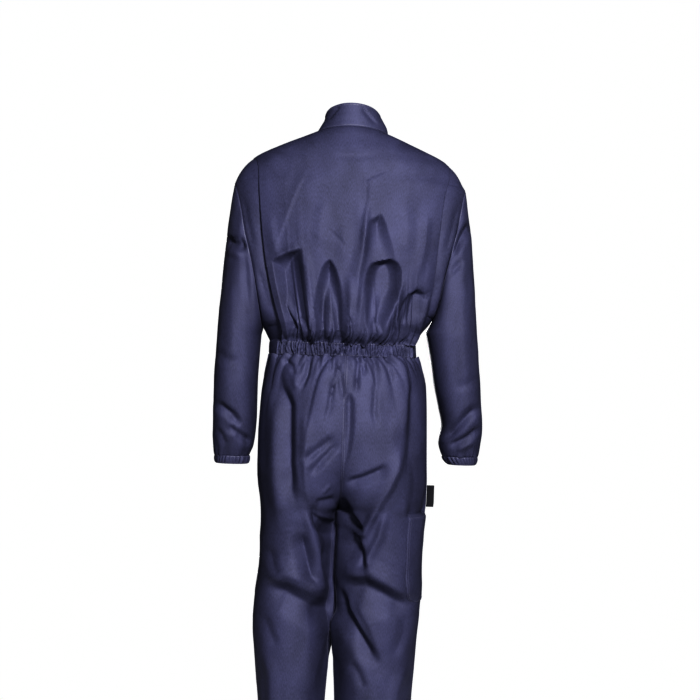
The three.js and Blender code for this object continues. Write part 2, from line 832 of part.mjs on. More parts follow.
// Rule pocket on the right leg, laid on the trouser panel's own points

const pocketColumns = 8
const pocketRows = legRows.filter(z => z <= crotch && z >= -1015)

function rulePocket() {
  const panel = legPanels.trouser_back_right
  const first = legRows.indexOf(pocketRows[0])
  const pick = grid => grid.slice(first, first + pocketRows.length).map(row => row.slice(0, pocketColumns + 1))
  const points = pick(panel.outer)
  const normals = pick(panel.normals)
  const last = points.at(-1)
  last[pocketColumns] = last[pocketColumns].clone().lerp(last[pocketColumns - 1], 0.6)
    .addScaledVector(normals.at(-1)[pocketColumns], 0.6)
  return wallGeometry(inset(points, normals, -0.4 - cloth), inset(points, normals, -0.4))
}

add('rule_pocket', rulePocket(), navy)

// Blank label held in the right side seam, above the pocket

const labelTop = -765
const labelBottom = -812
const labelWidth = 16

function sideLabel() {
  const start = z => legPoint('right', 0, z).x - 0.4
  const outer = ladder(labelTop, labelBottom, 3).map(z =>
    ladder(0, labelWidth, 2).map(out => new THREE.Vector3(start(z) - out, 0.5 + 0.12 * out, z)))
  const normals = outer.map(row => row.map(() => new THREE.Vector3(0, 1, 0)))
  return wallGeometry(outer, inset(outer, normals, 1))
}

add('side_label', sideLabel(), black)

// Front zip, closed to the top of the collar. Its rows follow the rows of the panels it holds.

const zipRowsOf = side => [
  ...collarSections.toReversed().map(section => ({ collar: section })),
  ...torsoRows(side).map(z => ({ z })),
  { z: waistBottom },
  ...legRows.filter(z => z < waistBottom && z > zipEnd).map(z => ({ leg: z })),
]

function zipPoint(row, side, width, depth) {
  let point
  let normal
  if (row.collar) {
    const angle = collarAngle(row.collar, width, side)
    point = collarPoint(angle, row.collar.row)
    normal = outwardInPlane(row.collar, angle)
  } else if (row.leg) {
    const ring = legRing(side, row.leg)
    const angle = -turnAtWidth(width - ring.centre, ring.left, ring.square)
    point = legPoint(side, angle, row.leg)
    normal = normalOf((turn, z) => legPoint(side, turn, z), angle, row.leg, side)
  } else {
    const section = sectionAt(torsoSections, row.z)
    const angle = collarAngle(section, width, side)
    point = torsoPoint(angle, row.z)
    normal = normalOf(torsoPoint, angle, row.z)
  }
  normal.x = 0
  return point.addScaledVector(normal.normalize(), -depth)
}

const tapeDepth = cloth + 0.8
const tapeThickness = 1

for (const side of ['left', 'right']) {
  const layer = depth => zipRowsOf(side).map(row => [0.2, 10].map(width => zipPoint(row, side, width, depth)))
  add(`zip_tape_${side}`, wallGeometry(layer(tapeDepth), layer(tapeDepth + tapeThickness)), tapeNavy)
}

const chainHalf = 2.8
const chainLayer = depth => zipRowsOf('left').map(row => [
  zipPoint(row, 'right', chainHalf, depth),
  zipPoint(row, 'left', chainHalf, depth),
])
add('zip_chain', wallGeometry(chainLayer(-0.4), chainLayer(tapeDepth - 0.4)), nylon)

// Slider and pull tab, built flat and then stood against the collar front.
// In their own frame X is across, Y is up along the zip and Z is outward.

function solidOf(geometry) {
  const bare = geometry.clone()
  bare.deleteAttribute('normal')
  bare.deleteAttribute('uv')
  const merged = mergeVertices(bare, 1e-4)
  return new wasm.Manifold(new wasm.Mesh({
    numProp: 3,
    vertProperties: new Float32Array(merged.attributes.position.array),
    triVerts: new Uint32Array(merged.index.array),
  }))
}

function geometryOf(solid) {
  const mesh = solid.getMesh()
  const geometry = new THREE.BufferGeometry()
  geometry.setAttribute('position', new THREE.BufferAttribute(mesh.vertProperties, 3))
  geometry.setIndex(new THREE.BufferAttribute(mesh.triVerts, 1))
  geometry.computeVertexNormals()
  return geometry
}

function box(x, y, z, width, height, depth) {
  return new THREE.BoxGeometry(width, height, depth).translate(x, y, z)
}

function bar(radius, length, y, z) {
  return new THREE.CylinderGeometry(radius, radius, length, 16).rotateZ(quarter).translate(0, y, z)
}

const plateBottom = 0.75
const plateThickness = 1.8
const pinY = 3.4
const pinZ = plateBottom + plateThickness + 2.9
const pinRadius = 0.8
const eyeRadius = 2.2
const eyeHole = 1.15
const tabLength = 24

function slider() {
  const plateMiddle = plateBottom + plateThickness / 2
  const lugMiddle = (pinZ + 1.2 + plateBottom) / 2
  const lugHeight = pinZ + 1.2 - plateBottom
  return solidOf(box(0, 0, plateMiddle, 9, 11, plateThickness))
    .add(solidOf(box(3.1, pinY, lugMiddle, 1.4, 3.4, lugHeight)))
    .add(solidOf(box(-3.1, pinY, lugMiddle, 1.4, 3.4, lugHeight)))
    .add(solidOf(bar(pinRadius, 6.2, pinY, pinZ)))
}

function pullTab() {
  return solidOf(bar(eyeRadius, 4, pinY, pinZ))
    .add(solidOf(box(0, pinY - 2.4, pinZ, 4, 2.4, 1.4)))
    .add(solidOf(box(0, pinY - 2.6 - tabLength / 2, pinZ, 7, tabLength, 1.4)))
    .subtract(solidOf(bar(eyeHole, 5, pinY, pinZ)))
    .subtract(solidOf(box(0, pinY - 2.6 - tabLength + 6, pinZ, 3.4, 7, 3)))
}

const [zipTop, zipBelow] = zipRowsOf('left').slice(0, 2).map(row => zipPoint(row, 'left', 0.2, 0).setX(0))
const zipUp = zipTop.clone().sub(zipBelow).normalize()
const acrossZip = new THREE.Vector3(1, 0, 0)
const stand = new THREE.Matrix4().makeBasis(acrossZip, zipUp, acrossZip.clone().cross(zipUp))
stand.setPosition(zipTop.clone().addScaledVector(zipUp, -7.5))

add('zip_slider', geometryOf(slider()).applyMatrix4(stand), nickel)
add('zip_pull', geometryOf(pullTab()).applyMatrix4(stand), nickel)

export default suit
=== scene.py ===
# Boiler suit seen from behind, in the shape it has when worn.
# Sizes in the tables are millimetres and become metres where a piece is placed.
# The front faces -Y and the wearer's left is +X.

import math

import bpy
import numpy as np
from mathutils import Matrix, Vector, noise


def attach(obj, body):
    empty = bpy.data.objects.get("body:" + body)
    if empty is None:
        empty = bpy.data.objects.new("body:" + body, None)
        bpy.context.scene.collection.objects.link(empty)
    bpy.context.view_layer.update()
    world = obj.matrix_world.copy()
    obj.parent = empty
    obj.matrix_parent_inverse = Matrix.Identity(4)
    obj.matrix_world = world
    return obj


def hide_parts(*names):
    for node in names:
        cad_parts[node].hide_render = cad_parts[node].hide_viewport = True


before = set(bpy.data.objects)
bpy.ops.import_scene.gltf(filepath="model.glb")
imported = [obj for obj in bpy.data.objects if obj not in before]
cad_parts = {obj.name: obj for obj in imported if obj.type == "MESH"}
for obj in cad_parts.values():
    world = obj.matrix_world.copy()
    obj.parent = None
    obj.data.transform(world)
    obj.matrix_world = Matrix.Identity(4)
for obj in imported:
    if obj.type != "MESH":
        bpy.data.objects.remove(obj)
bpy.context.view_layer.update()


# Camera
# It stands level at four metres behind the suit, at seat height, and is tipped a little
# to one side, so the suit leans clockwise by the same angle.

camera_distance = 4.0
view_width = 1.54
sensor_width = 36
camera_tip = math.radians(1.8)
view_middle = Vector((-0.0119, 0, -0.473))

bpy.ops.object.select_all(action="DESELECT")
bpy.ops.object.camera_add()
camera = bpy.context.object
tip_cos, tip_sin = math.cos(camera_tip), math.sin(camera_tip)
turn = Matrix(((-tip_cos, tip_sin, 0), (0, 0, 1), (tip_sin, tip_cos, 0))).to_4x4()
camera.matrix_world = Matrix.Translation(view_middle + Vector((0, camera_distance, 0))) @ turn
camera.data.lens = sensor_width * camera_distance / view_width
camera.data.clip_end = 50
bpy.context.scene.camera = camera


# Studio
# A pale round floor where the wearer would stand, and a white surround. Strong soft lights stand
# above the camera and in front of the suit, and weak ones below the camera and at each side.

floor_height = -1.632
floor_radius = 1.7
floor_depth = 0.02

bpy.ops.mesh.primitive_cylinder_add(vertices=96, radius=floor_radius, depth=floor_depth,
                                    location=(0, 0, floor_height - floor_depth / 2))
floor = bpy.context.object
floor.name = "floor"
pale = bpy.data.materials.new("pale_floor")
pale.use_nodes = True
pale_shader = pale.node_tree.nodes["Principled BSDF"]
pale_shader.inputs["Base Color"].default_value = (0.72, 0.72, 0.73, 1)
pale_shader.inputs["Roughness"].default_value = 0.9
floor.data.materials.append(pale)
floor.visible_diffuse = False


def soft_light(name, place, aim, width, power, colour=(1, 1, 1)):
    bpy.ops.object.light_add(type="AREA", location=place)
    light = bpy.context.object
    light.name = name
    light.data.shape = "DISK"
    light.data.size = width
    light.data.energy = power
    light.data.color = colour
    light.rotation_euler = (Vector(aim) - Vector(place)).to_track_quat("-Z", "Y").to_euler()


soft_light("key_light", (-1.0, 4.8, 1.5), (0, 0, -0.6), 1.1, 780, (1.0, 0.99, 0.98))
soft_light("low_light", (0.6, 4.2, -1.2), (0, 0, -0.9), 0.8, 75)
soft_light("front_light", (0.5, -5.0, 0.1), (0, 0, -0.6), 1.1, 620)
soft_light("left_light", (2.2, -1.2, 0.1), (0.2, 0, -0.5), 1.2, 4)
soft_light("right_light", (-2.2, -1.2, 0.1), (-0.2, 0, -0.5), 1.2, 4)

surround = bpy.data.worlds.new("surround")
surround.use_nodes = True
bpy.context.scene.world = surround
nodes = surround.node_tree.nodes
links = surround.node_tree.links
sky = nodes["Background"]
sky.inputs["Color"].default_value = (1, 1, 1, 1)
path = nodes.new("ShaderNodeLightPath")
brightness = nodes.new("ShaderNodeMapRange")
brightness.inputs["To Min"].default_value = 0.02
brightness.inputs["To Max"].default_value = 1.0
links.new(path.outputs["Is Camera Ray"], brightness.inputs["Value"])
links.new(brightness.outputs["Result"], sky.inputs["Strength"])
bpy.context.scene.view_settings.view_transform = "Standard"
bpy.context.scene.view_settings.gamma = 0.57


# Centre back
# One wide panel of navy twill from the neck to the waist. Its two long edges are folded under
# as action pleats over the side strips, and its bottom edge is gathered into the elastic.

metre = 0.001
cloth_thickness = 0.7
neck_seam = -5
pleat_top = -64
waist_top = -458
waist_bottom = -487
crotch = -822
hem = -1595


def table(names, rows):
    return dict(zip(names.split(), np.array(rows, dtype=float).T))


torso_sections = table(
    "z left right back front lean square",
    [
        [neck_seam, 79, 81, 60, 76, 0.30, 2.0],
        [-18, 113, 115, 68, 80, 0.28, 2.0],
        [-40, 168, 165, 78, 86, 0.26, 2.0],
        [-62, 212, 210, 88, 92, 0.24, 2.0],
        [-84, 235, 234, 96, 98, 0.20, 2.1],
        [-106, 248, 247, 102, 103, 0.17, 2.1],
        [-128, 255, 258, 107, 109, 0.13, 2.2],
        [-160, 258, 259, 113, 116, 0.08, 2.2],
        [-200, 256, 255, 119, 122, 0.03, 2.3],
        [-260, 248, 246, 124, 127, 0.0, 2.3],
        [-310, 236, 234, 127, 129, 0.0, 2.3],
        [-350, 222, 219, 130, 130, 0.0, 2.3],
        [-385, 206, 203, 133, 131, 0.0, 2.3],
        [-415, 189, 182, 136, 131, 0.0, 2.3],
        [-433, 178, 167, 134, 128, 0.0, 2.2],
        [-446, 171, 160, 124, 122, 0.0, 2.2],
        [waist_top, 166, 156, 106, 116, 0.0, 2.2],
        [waist_bottom, 166, 158, 104, 115, 0.0, 2.2],
    ],
)

pleat_edge = table(
    "z left right",
    [
        [pleat_top, 213, 212],
        [-72, 206, 216],
        [-97, 198, 216],
        [-142, 194, 206],
        [-241, 182, 195],
        [-310, 171, 189],
        [-382, 153, 180],
        [-433, 138, 160],
        [waist_top, 134, 146],
    ],
)

# A crease runs through its points. It rises by height, or sinks below zero, and falls away
# over one width on the left hand and another on the right, seen from outside.

back_creases = [
    # points, height, left width, right width
    ([(101, -254), (128, -266), (152, -288)], 3, 12, 9),
    ([(92, -262), (84, -305), (76, -365), (68, -436), (64, -490)], 6, 9, 12),
    ([(38, -330), (34, -370), (33, -430), (32, -490)], 7, 10, 10),
    ([(18, -360), (15, -400), (12, -440), (10, -490)], -5, 5, 5),
    ([(50, -350), (51, -400), (48, -442), (45, -490)], -5, 5, 5),
    ([(-4, -300), (-9, -362), (-12, -429), (-14, -490)], 5, 9, 9),
    ([(-38, -140), (-36, -227), (-31, -275), (-25, -313), (-22, -377), (-24, -440)], 8, 8, 15),
    ([(-34, -85), (-36, -152), (-30, -182), (-25, -227), (-22, -276)], -2.6, 6, 9),
    ([(-44, -330), (-44, -370), (-42, -420), (-40, -480)], 6, 9, 9),
    ([(-66, -340), (-62, -380), (-54, -430), (-48, -480)], 5, 8, 8),
    ([(-120, -322), (-108, -366), (-90, -410), (-76, -460)], 6, 8, 8),
    ([(-136, -345), (-120, -384), (-106, -420), (-98, -480)], -6, 6, 8),
    ([(-182, -356), (-160, -349), (-142, -344)], -6, 6, 10),
    ([(166, -352), (148, -378), (134, -402), (118, -424), (104, -450)], -10, 8, 10),
    ([(150, -350), (130, -384), (112, -410), (92, -440)], 5, 9, 9),
    ([(42, -218), (19, -236), (-2, -260)], -1.2, 3, 5),
    ([(90, -84), (112, -130), (136, -200), (162, -275)], 1.6, 4, 12),
    ([(52, -150), (60, -200), (62, -260)], 2.2, 14, 12),
    ([(40, -55), (10, -58), (-30, -56), (-62, -50)], -0.9, 5, 8),
    ([(-80, -84), (-52, -97), (-24, -113)], -1.8, 4, 6),
    ([(10, -200), (8, -250), (12, -290)], 2, 12, 12),
    ([(-120, -150), (-128, -210), (-124, -270)], 2.4, 14, 14),
    ([(-170, -170), (-166, -240), (-150, -320)], 3, 9, 14),
    ([(170, -180), (160, -240), (140, -310)], 2.5, 9, 12),
]


# Between the folds the blouse hangs in over the waist. Each hollow has a steep wall along
# its two edges and fills out again towards its last row.

back_hollows = [
    # depth, wall, rows of z left right
    (30, 42, [[-260, 101, 97], [-272, 138, 95], [-290, 166, 92], [-335, 190, 84],
              [-400, 188, 75], [-450, 170, 68], [-490, 150, 64]]),
    (24, 23, [[-282, 40, 36], [-292, 50, 28], [-308, 57, 20], [-350, 65, 9],
              [-400, 67, 2], [-450, 66, -3], [-490, 64, -6]]),
    (27, 27, [[-276, -90, -97], [-287, -52, -112], [-305, -42, -119], [-327, -38, -119],
              [-365, -35, -107], [-405, -32, -91], [-431, -31, -79], [-490, -30, -62]]),
    (15, 26, [[-182, -66, -72], [-200, -42, -81], [-218, -39, -87], [-263, -36, -101],
              [-300, -36, -112], [-320, -36, -116]]),
    (22, 28, [[-340, -150, -160], [-352, -130, -176], [-385, -115, -172],
              [-420, -104, -154], [-490, -92, -130]]),
]


# A column of a table, read at any height by a smooth curve through its rows
def along(rows, name, heights):
    z = rows["z"][::-1]
    v = rows[name][::-1]
    slope = np.diff(v) / np.diff(z)
    before, after = slope[:-1], slope[1:]
    turning = before * after <= 0
    total = np.where(turning, 1, before + after)
    inner = np.where(turning, 0, 2 * before * after / total)
    tangent = np.concatenate(([slope[0]], inner, [slope[-1]]))
    heights = np.clip(heights, z[0], z[-1])
    k = np.clip(np.searchsorted(z, heights) - 1, 0, len(z) - 2)
    span = z[k + 1] - z[k]
    t = (heights - z[k]) / span
    return (v[k] * (1 + 2 * t) * (1 - t) ** 2 + tangent[k] * span * t * (1 - t) ** 2
            + v[k + 1] * t * t * (3 - 2 * t) + tangent[k + 1] * span * t * t * (t - 1))


# One level of a tube of cloth, with a half width of its own on each of the four sides. It is
# elliptical where square is 2, and has fuller corners above that.
def ring(angle, left, right, back, front, square, z, lean=0.0):
    across, deep = np.cos(angle), np.sin(angle)
    wide = np.where(across > 0, left, right)
    depth = np.where(deep > 0, back, front)
    x = wide * np.sign(across) * np.abs(across) ** (2 / square)
    y = depth * np.sign(deep) * np.abs(deep) ** (2 / square)
    return np.stack([x, y, z + lean * y], axis=-1)


def torso(angle, z):
    z = z + 0 * angle
    sizes = {name: along(torso_sections, name, z) for name in torso_sections if name != "z"}
    return ring(angle, z=z, **sizes)


# The turn round a level at which the cloth has come to a part of its whole half width
def turn_at_width(part, whole, square):
    share = np.clip(np.abs(part) / whole, 0, 1) ** (square / 2)
    return np.arccos(np.sign(part) * share)


def torso_turn(side, width, z):
    whole = along(torso_sections, side, z)
    return turn_at_width(width, whole, along(torso_sections, "square", z))


def crease_height(x, z, creases):
    total = np.zeros_like(x)
    for points, height, width_left, width_right in creases:
        points = np.array(points, dtype=float)
        steps = np.diff(points, axis=0)
        lengths = np.hypot(*steps.T)
        reach = np.concatenate(([0], np.cumsum(lengths)))
        nearest = np.full(x.shape, 1e9)
        hand = np.ones_like(x)
        run = np.zeros_like(x)
        for start, step, length, begun in zip(points, steps, lengths, reach):
            dx, dz = x - start[0], z - start[1]
            t = np.clip((dx * step[0] + dz * step[1]) / length ** 2, 0, 1)
            away = np.hypot(dx - t * step[0], dz - t * step[1])
            side = (step[0] * dz - step[1] * dx) / (length * np.maximum(away, 0.01))
            closer = away < nearest
            nearest = np.where(closer, away, nearest)
            hand = np.where(closer, side, hand)
            run = np.where(closer, (begun + t * length) / reach[-1], run)
        hand = np.clip(hand, -1, 1)
        width = 1.4 * ((width_right + width_left) / 2 + (width_right - width_left) / 2 * hand)
        ends = np.clip(np.minimum(run, 1 - run) / 0.25, 0, 1)
        fade = 0.1 + 0.9 * ends * ends * (3 - 2 * ends)
        left_over = 1.04 - np.hypot(nearest / width, 0.12)
        total += height * fade * 0.1 * np.logaddexp(0, left_over / 0.1)
    return total


def hollow_height(x, z, hollows):
    total = np.zeros_like(x)
    for depth, wall, rows in hollows:
        edges = table("z left right", rows)
        top, bottom = edges["z"][0], edges["z"][-1]
        inside = np.minimum(along(edges, "left", z) - x, x - along(edges, "right", z))
        step = np.clip(inside / wall, 0, 1)
        down = np.clip((top - z) / (top - bottom), 0, 1)
        total -= depth * step ** 1.3 * (2.2 - 1.2 * step) * (1 - down ** 1.6) * (z < top)
    return total


# The small unevenness of worn cloth, without any crease of its own
def crumple(points, size, depth, seed):
    spots = points.reshape(-1, 3) / size + seed
    rough = [1 - 2.6 * abs(noise.noise(Vector(p))) for p in spots]
    return depth * np.array(rough).reshape(points.shape[:-1])


# The direction out of the cloth at each point, away from the middle of its tube
def grid_normals(points, middle):
    across = np.gradient(points, axis=1)
    down = np.gradient(points, axis=0)
    normal = np.cross(across, down)
    normal /= np.maximum(np.linalg.norm(normal, axis=-1, keepdims=True), 1e-9)
    outward = points - middle
    if np.sum(normal * outward) < 0:
        normal = -normal
    return normal


def push(points, middle, amount):
    return points + grid_normals(points, middle) * amount[..., None]


# How far each point lies from an edge, measured along the cloth
def reach_from(points, edge, axis):
    steps = np.linalg.norm(np.diff(points, axis=axis), axis=-1)
    zeros = np.zeros_like(np.take(steps, [0], axis=axis))
    run = np.concatenate((zeros, np.cumsum(steps, axis=axis)), axis=axis)
    if edge == "last":
        run = np.take(run, [-1], axis=axis) - run
    return run


# The cloth draws in a little along the edges that are sewn
def seam_dip(points, edges, depth, width):
    dip = np.zeros(points.shape[:-1])
    for edge, axis in edges:
        dip -= depth * np.exp(-(reach_from(points, edge, axis) / width) ** 2)
    return dip


# Elastic bunches the cloth into folds of uneven width, height and length, which die away
# from the band
def gathers(run, from_band, pitch, height, length, seed):
    dice = np.random.default_rng(seed)
    count = int((run.max() - run.min()) / pitch * 1.4) + 6
    widths = pitch * dice.uniform(0.5, 1.6, count)
    edges = run.min() - 2 * pitch + np.concatenate(([0], np.cumsum(widths)))
    heights = height * widths / pitch * dice.uniform(0.6, 1.25, count)
    reaches = length * np.exp(dice.normal(0, 0.5, count))
    slants = dice.uniform(-0.3, 0.3, count)
    shifted = run + np.interp(run, edges[:-1], slants) * np.minimum(from_band, 50)
    fold = np.clip(np.searchsorted(edges, shifted) - 1, 0, count - 1)
    part = (shifted - edges[fold]) / widths[fold]
    crest = np.abs(np.sin(math.pi * part)) ** 0.8
    return (heights[fold] * crest * np.exp(-from_band / reaches[fold])
            - 0.5 * height * np.exp(-from_band / length))


# One more row beyond an edge, turned in behind the next panel as a seam's allowance is
def seam_allowance(points, middle, edge, axis, width=5.0, depth=2.0):
    normal = grid_normals(points, middle)
    first, second = (0, 1) if edge == "first" else (-1, -2)
    line = np.take(points, first, axis=axis)
    beyond = line - np.take(points, second, axis=axis)
    beyond /= np.maximum(np.linalg.norm(beyond, axis=-1, keepdims=True), 1e-9)
    flap = line + beyond * width - np.take(normal, first, axis=axis) * depth
    flap = np.expand_dims(flap, axis)
    parts = (flap, points) if edge == "first" else (points, flap)
    return np.concatenate(parts, axis=axis)


# A grid of cloth whose UV is its flat length and width, with its faces outward
def cloth_grid(name, points, middle, looped=False):
    rows, columns = points.shape[:2]
    bpy.ops.object.select_all(action="DESELECT")
    bpy.ops.mesh.primitive_grid_add(x_subdivisions=columns - 1, y_subdivisions=rows - 1, size=1)
    piece = bpy.context.object
    piece.name = name
    mesh = piece.data
    mesh.vertices.foreach_set("co", (points * metre).reshape(-1))
    across = reach_from(points, "first", 1)
    down = reach_from(points, "first", 0)
    flat = np.stack([across - across[:, [columns // 2]], -down], axis=-1).reshape(-1, 2) * metre
    corner = np.empty(len(mesh.loops), dtype=np.int32)
    mesh.loops.foreach_get("vertex_index", corner)
    mesh.uv_layers.active.data.foreach_set("uv", flat[corner].reshape(-1))
    mesh.update()
    normal = np.empty(len(mesh.polygons) * 3)
    centre = np.empty(len(mesh.polygons) * 3)
    mesh.polygons.foreach_get("normal", normal)
    mesh.polygons.foreach_get("center", centre)
    outward = centre.reshape(-1, 3) - middle.reshape(-1, 3).mean(axis=0) * metre
    if looped:
        outward[:, 2] = 0
    bpy.ops.object.mode_set(mode="EDIT")
    bpy.ops.mesh.select_all(action="SELECT")
    if np.sum(normal.reshape(-1, 3) * outward) < 0:
        bpy.ops.mesh.flip_normals()
    if looped:
        bpy.ops.mesh.remove_doubles(threshold=0.00002)
    bpy.ops.object.mode_set(mode="OBJECT")
    bpy.ops.object.shade_smooth()
    return piece


def thicken(piece, thickness=cloth_thickness):
    bpy.context.view_layer.objects.active = piece
    wall = piece.modifiers.new("wall", "SOLIDIFY")
    wall.thickness = thickness * metre
    wall.offset = -1
    bpy.ops.object.modifier_apply(modifier="wall")
    bpy.ops.object.shade_smooth_by_angle(angle=math.radians(65))


# Woven cloth: uneven threads along and across it, slightly faded in patches, with a low sheen
def twill(name, colour, weave_bump=0.6, gloss=0.46):
    cloth = bpy.data.materials.new(name)
    cloth.use_nodes = True
    nodes = cloth.node_tree.nodes
    links = cloth.node_tree.links
    shader = nodes["Principled BSDF"]
    shader.inputs["Roughness"].default_value = 0.66
    shader.inputs["Specular IOR Level"].default_value = gloss
    shader.inputs["Specular Tint"].default_value = (0.78, 0.79, 1.0, 1)
    place = nodes.new("ShaderNodeTexCoord")
    slub_size = nodes.new("ShaderNodeMapping")
    slub_size.inputs["Scale"].default_value = (620, 150, 1)
    slub = nodes.new("ShaderNodeTexNoise")
    slub.inputs["Scale"].default_value = 1.0
    slub.inputs["Detail"].default_value = 2.0
    fade_size = nodes.new("ShaderNodeMapping")
    fade_size.inputs["Scale"].default_value = (14, 9, 1)
    fade = nodes.new("ShaderNodeTexNoise")
    fade.inputs["Scale"].default_value = 1.0
    fade.inputs["Detail"].default_value = 3.0
    grain_size = nodes.new("ShaderNodeMapping")
    grain_size.inputs["Scale"].default_value = (260, 620, 1)
    grain = nodes.new("ShaderNodeTexNoise")
    grain.inputs["Scale"].default_value = 1.0
    grain.inputs["Detail"].default_value = 1.0
    tone = nodes.new("ShaderNodeMix")
    tone.data_type = "FLOAT"
    tone.inputs["Factor"].default_value = 0.5
    ramp = nodes.new("ShaderNodeValToRGB")
    ramp.color_ramp.elements[0].position = 0.30
    ramp.color_ramp.elements[0].color = (*[part * 0.55 for part in colour], 1)
    ramp.color_ramp.elements[1].position = 0.70
    ramp.color_ramp.elements[1].color = (*[part * 1.45 for part in colour], 1)
    raised = nodes.new("ShaderNodeMix")
    raised.data_type = "FLOAT"
    raised.inputs["Factor"].default_value = 0.5
    bump = nodes.new("ShaderNodeBump")
    bump.inputs["Strength"].default_value = weave_bump
    bump.inputs["Distance"].default_value = 0.0008
    links.new(place.outputs["UV"], slub_size.inputs["Vector"])
    links.new(place.outputs["UV"], fade_size.inputs["Vector"])
    links.new(place.outputs["UV"], grain_size.inputs["Vector"])
    links.new(slub_size.outputs["Vector"], slub.inputs["Vector"])
    links.new(fade_size.outputs["Vector"], fade.inputs["Vector"])
    links.new(grain_size.outputs["Vector"], grain.inputs["Vector"])
    links.new(slub.outputs["Fac"], tone.inputs["A"])
    links.new(fade.outputs["Fac"], tone.inputs["B"])
    links.new(tone.outputs["Result"], ramp.inputs["Fac"])
    links.new(ramp.outputs["Color"], shader.inputs["Base Color"])
    links.new(grain.outputs["Fac"], raised.inputs["A"])
    links.new(slub.outputs["Fac"], raised.inputs["B"])
    links.new(raised.outputs["Result"], bump.inputs["Height"])
    links.new(bump.outputs["Normal"], shader.inputs["Normal"])
    return cloth


navy_twill = twill("navy_twill", (0.0405, 0.0412, 0.076))


def dress(piece, node, material):
    piece.data.materials.clear()
    piece.data.materials.append(material)
    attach(piece, "suit")
    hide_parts(node)


def torso_middle(points):
    middle = points.copy()
    middle[..., 0] *= 0.3
    middle[..., 1] = 0
    middle[..., 2] -= 10
    return middle


back_rows = np.linspace(neck_seam, waist_top, 182)
back_width = 330
share = np.linspace(0, 1, 180)
outermost = 999


# Above the pleats the panel runs out to the shoulder seam at the side
def pleat_turn(side, z):
    edge = np.where(z > pleat_top, outermost, along(pleat_edge, side, z))
    return torso_turn(side, edge, z)


start = pleat_turn("left", back_rows)
finish = math.pi - pleat_turn("right", back_rows)
angle = start[:, None] * (1 - share) + finish[:, None] * share
centre_back = torso(angle, back_rows[:, None])
middle = torso_middle(centre_back)
x, z = centre_back[..., 0], centre_back[..., 2]
above_band = z - waist_top
run = reach_from(centre_back, "first", 1)
run = run / run[:, [-1]] * back_width
lift = crease_height(x, z, back_creases) + hollow_height(x, z, back_hollows)
lift += gathers(run, above_band, 10, 9.5, 21, 3) - 0.5 * np.exp(-above_band / 12)
lift += crumple(centre_back * (1, 1, 0.55), 48, 0.45, 7.3) + crumple(centre_back, 120, 1.2, 2.1)
lift *= np.clip((-14 - back_rows[:, None]) / 30, 0.1, 1)
shoulder_seam = np.clip((z + 75) / 12, 0, 1)
from_edge = np.minimum(reach_from(centre_back, "first", 1), reach_from(centre_back, "last", 1))
lift *= 1 - shoulder_seam * np.exp(-(from_edge / 9) ** 2)
lift = np.maximum(lift, -1.5 - 1.4 * np.maximum(0, from_edge - 15))
lift = np.maximum(lift, -2.4 - 0.7 * above_band)
lift += seam_dip(centre_back, [("first", 0)], 0.7, 3)
lift += seam_dip(centre_back, [("last", 0)], 0.3, 2)
centre_back = push(centre_back, middle, lift)

# A few more columns roll under at the pleat edges

fold_under = [
    # out, up
    (0.9, -1.0),
    (0.2, -2.2),
    (-5.0, -3.0),
    (-12.0, -3.4),
]


def folded_edge(points, middle, edge):
    normal = grid_normals(points, middle)
    if edge == "first":
        line, inside, up = points[:, 0], points[:, 1], normal[:, 0]
    else:
        line, inside, up = points[:, -1], points[:, -2], normal[:, -1]
    out = line - inside
    out /= np.linalg.norm(out, axis=-1, keepdims=True)
    open_pleat = np.clip((pleat_top - 2 - back_rows) / 16, 0, 1)[:, None]
    turned = [line + open_pleat * (out * far + up * high) for far, high in fold_under]
    return np.stack(turned, axis=1)


left_fold = folded_edge(centre_back, middle, "first")[:, ::-1]
right_fold = folded_edge(centre_back, middle, "last")
centre_back_whole = np.concatenate((left_fold, centre_back, right_fold), axis=1)
whole_middle = torso_middle(centre_back_whole)
centre_back_whole = seam_allowance(centre_back_whole, whole_middle, "first", 0, 2.5, 2.5)

# Each panel is kept here with its middle, for the stitches that are laid on it later
sewn = {"centre_back": (centre_back, middle)}
piece = cloth_grid("centre_back", centre_back_whole, torso_middle(centre_back_whole))
thicken(piece)
dress(piece, "back_centre", navy_twill)


# Back side strips
# A narrow panel of the same twill behind each pleat, sewn to the sleeve, the front and the
# waist, and running on under the folded edge of the centre back.

armhole_seam = table(
    "z left right",
    [
        [-110, 256, 256],
        [-126, 249, 252],
        [-166, 237, 244],
        [-222, 224, 233],
        [-302, 203, 214],
        [-386, 187, 198],
        [-430, 180, 180],
        [-450, 176, 172],
    ],
)

strip_creases = [
    ([(232, -150), (222, -200), (206, -262)], -3, 8, 8),
    ([(196, -300), (182, -350), (166, -400)], -4, 8, 9),
    ([(-240, -150), (-226, -214), (-214, -262)], -3, 8, 8),
    ([(-208, -300), (-196, -350), (-176, -400)], -4, 8, 9),
]


# The height at which the armhole seam leaves the side of the torso
def crossing(side, high, low):
    z = np.linspace(high, low, 4000)
    inside = along(torso_sections, side, z) > along(armhole_seam, side, z)
    return z[np.argmax(inside != inside[0])]


armhole_top = {side: crossing(side, -100, -200) for side in ("left", "right")}
armhole_bottom = {side: crossing(side, -300, -450) for side in ("left", "right")}
strip_reach_under = 14
strip_depth_under = 4.8


def side_edge_turn(side, z):
    beside = (z < armhole_top[side]) & (z > armhole_bottom[side])
    width = np.where(beside, along(armhole_seam, side, z), outermost)
    return torso_turn(side, width, z)


def rows_through(side, top, spacing=3.2):
    hole_top, hole_bottom = armhole_top[side], armhole_bottom[side]
    above = np.linspace(top, hole_top, max(3, int((top - hole_top) / spacing)))[:-1]
    turns = np.linspace(0, math.pi, 96)
    beside = hole_top + (hole_bottom - hole_top) * (1 - np.cos(turns)) / 2
    below = np.linspace(hole_bottom, waist_top, 10)[1:]
    return np.concatenate((above, beside, below))


def on_side(side, turn):
    return turn if side == "left" else math.pi - turn


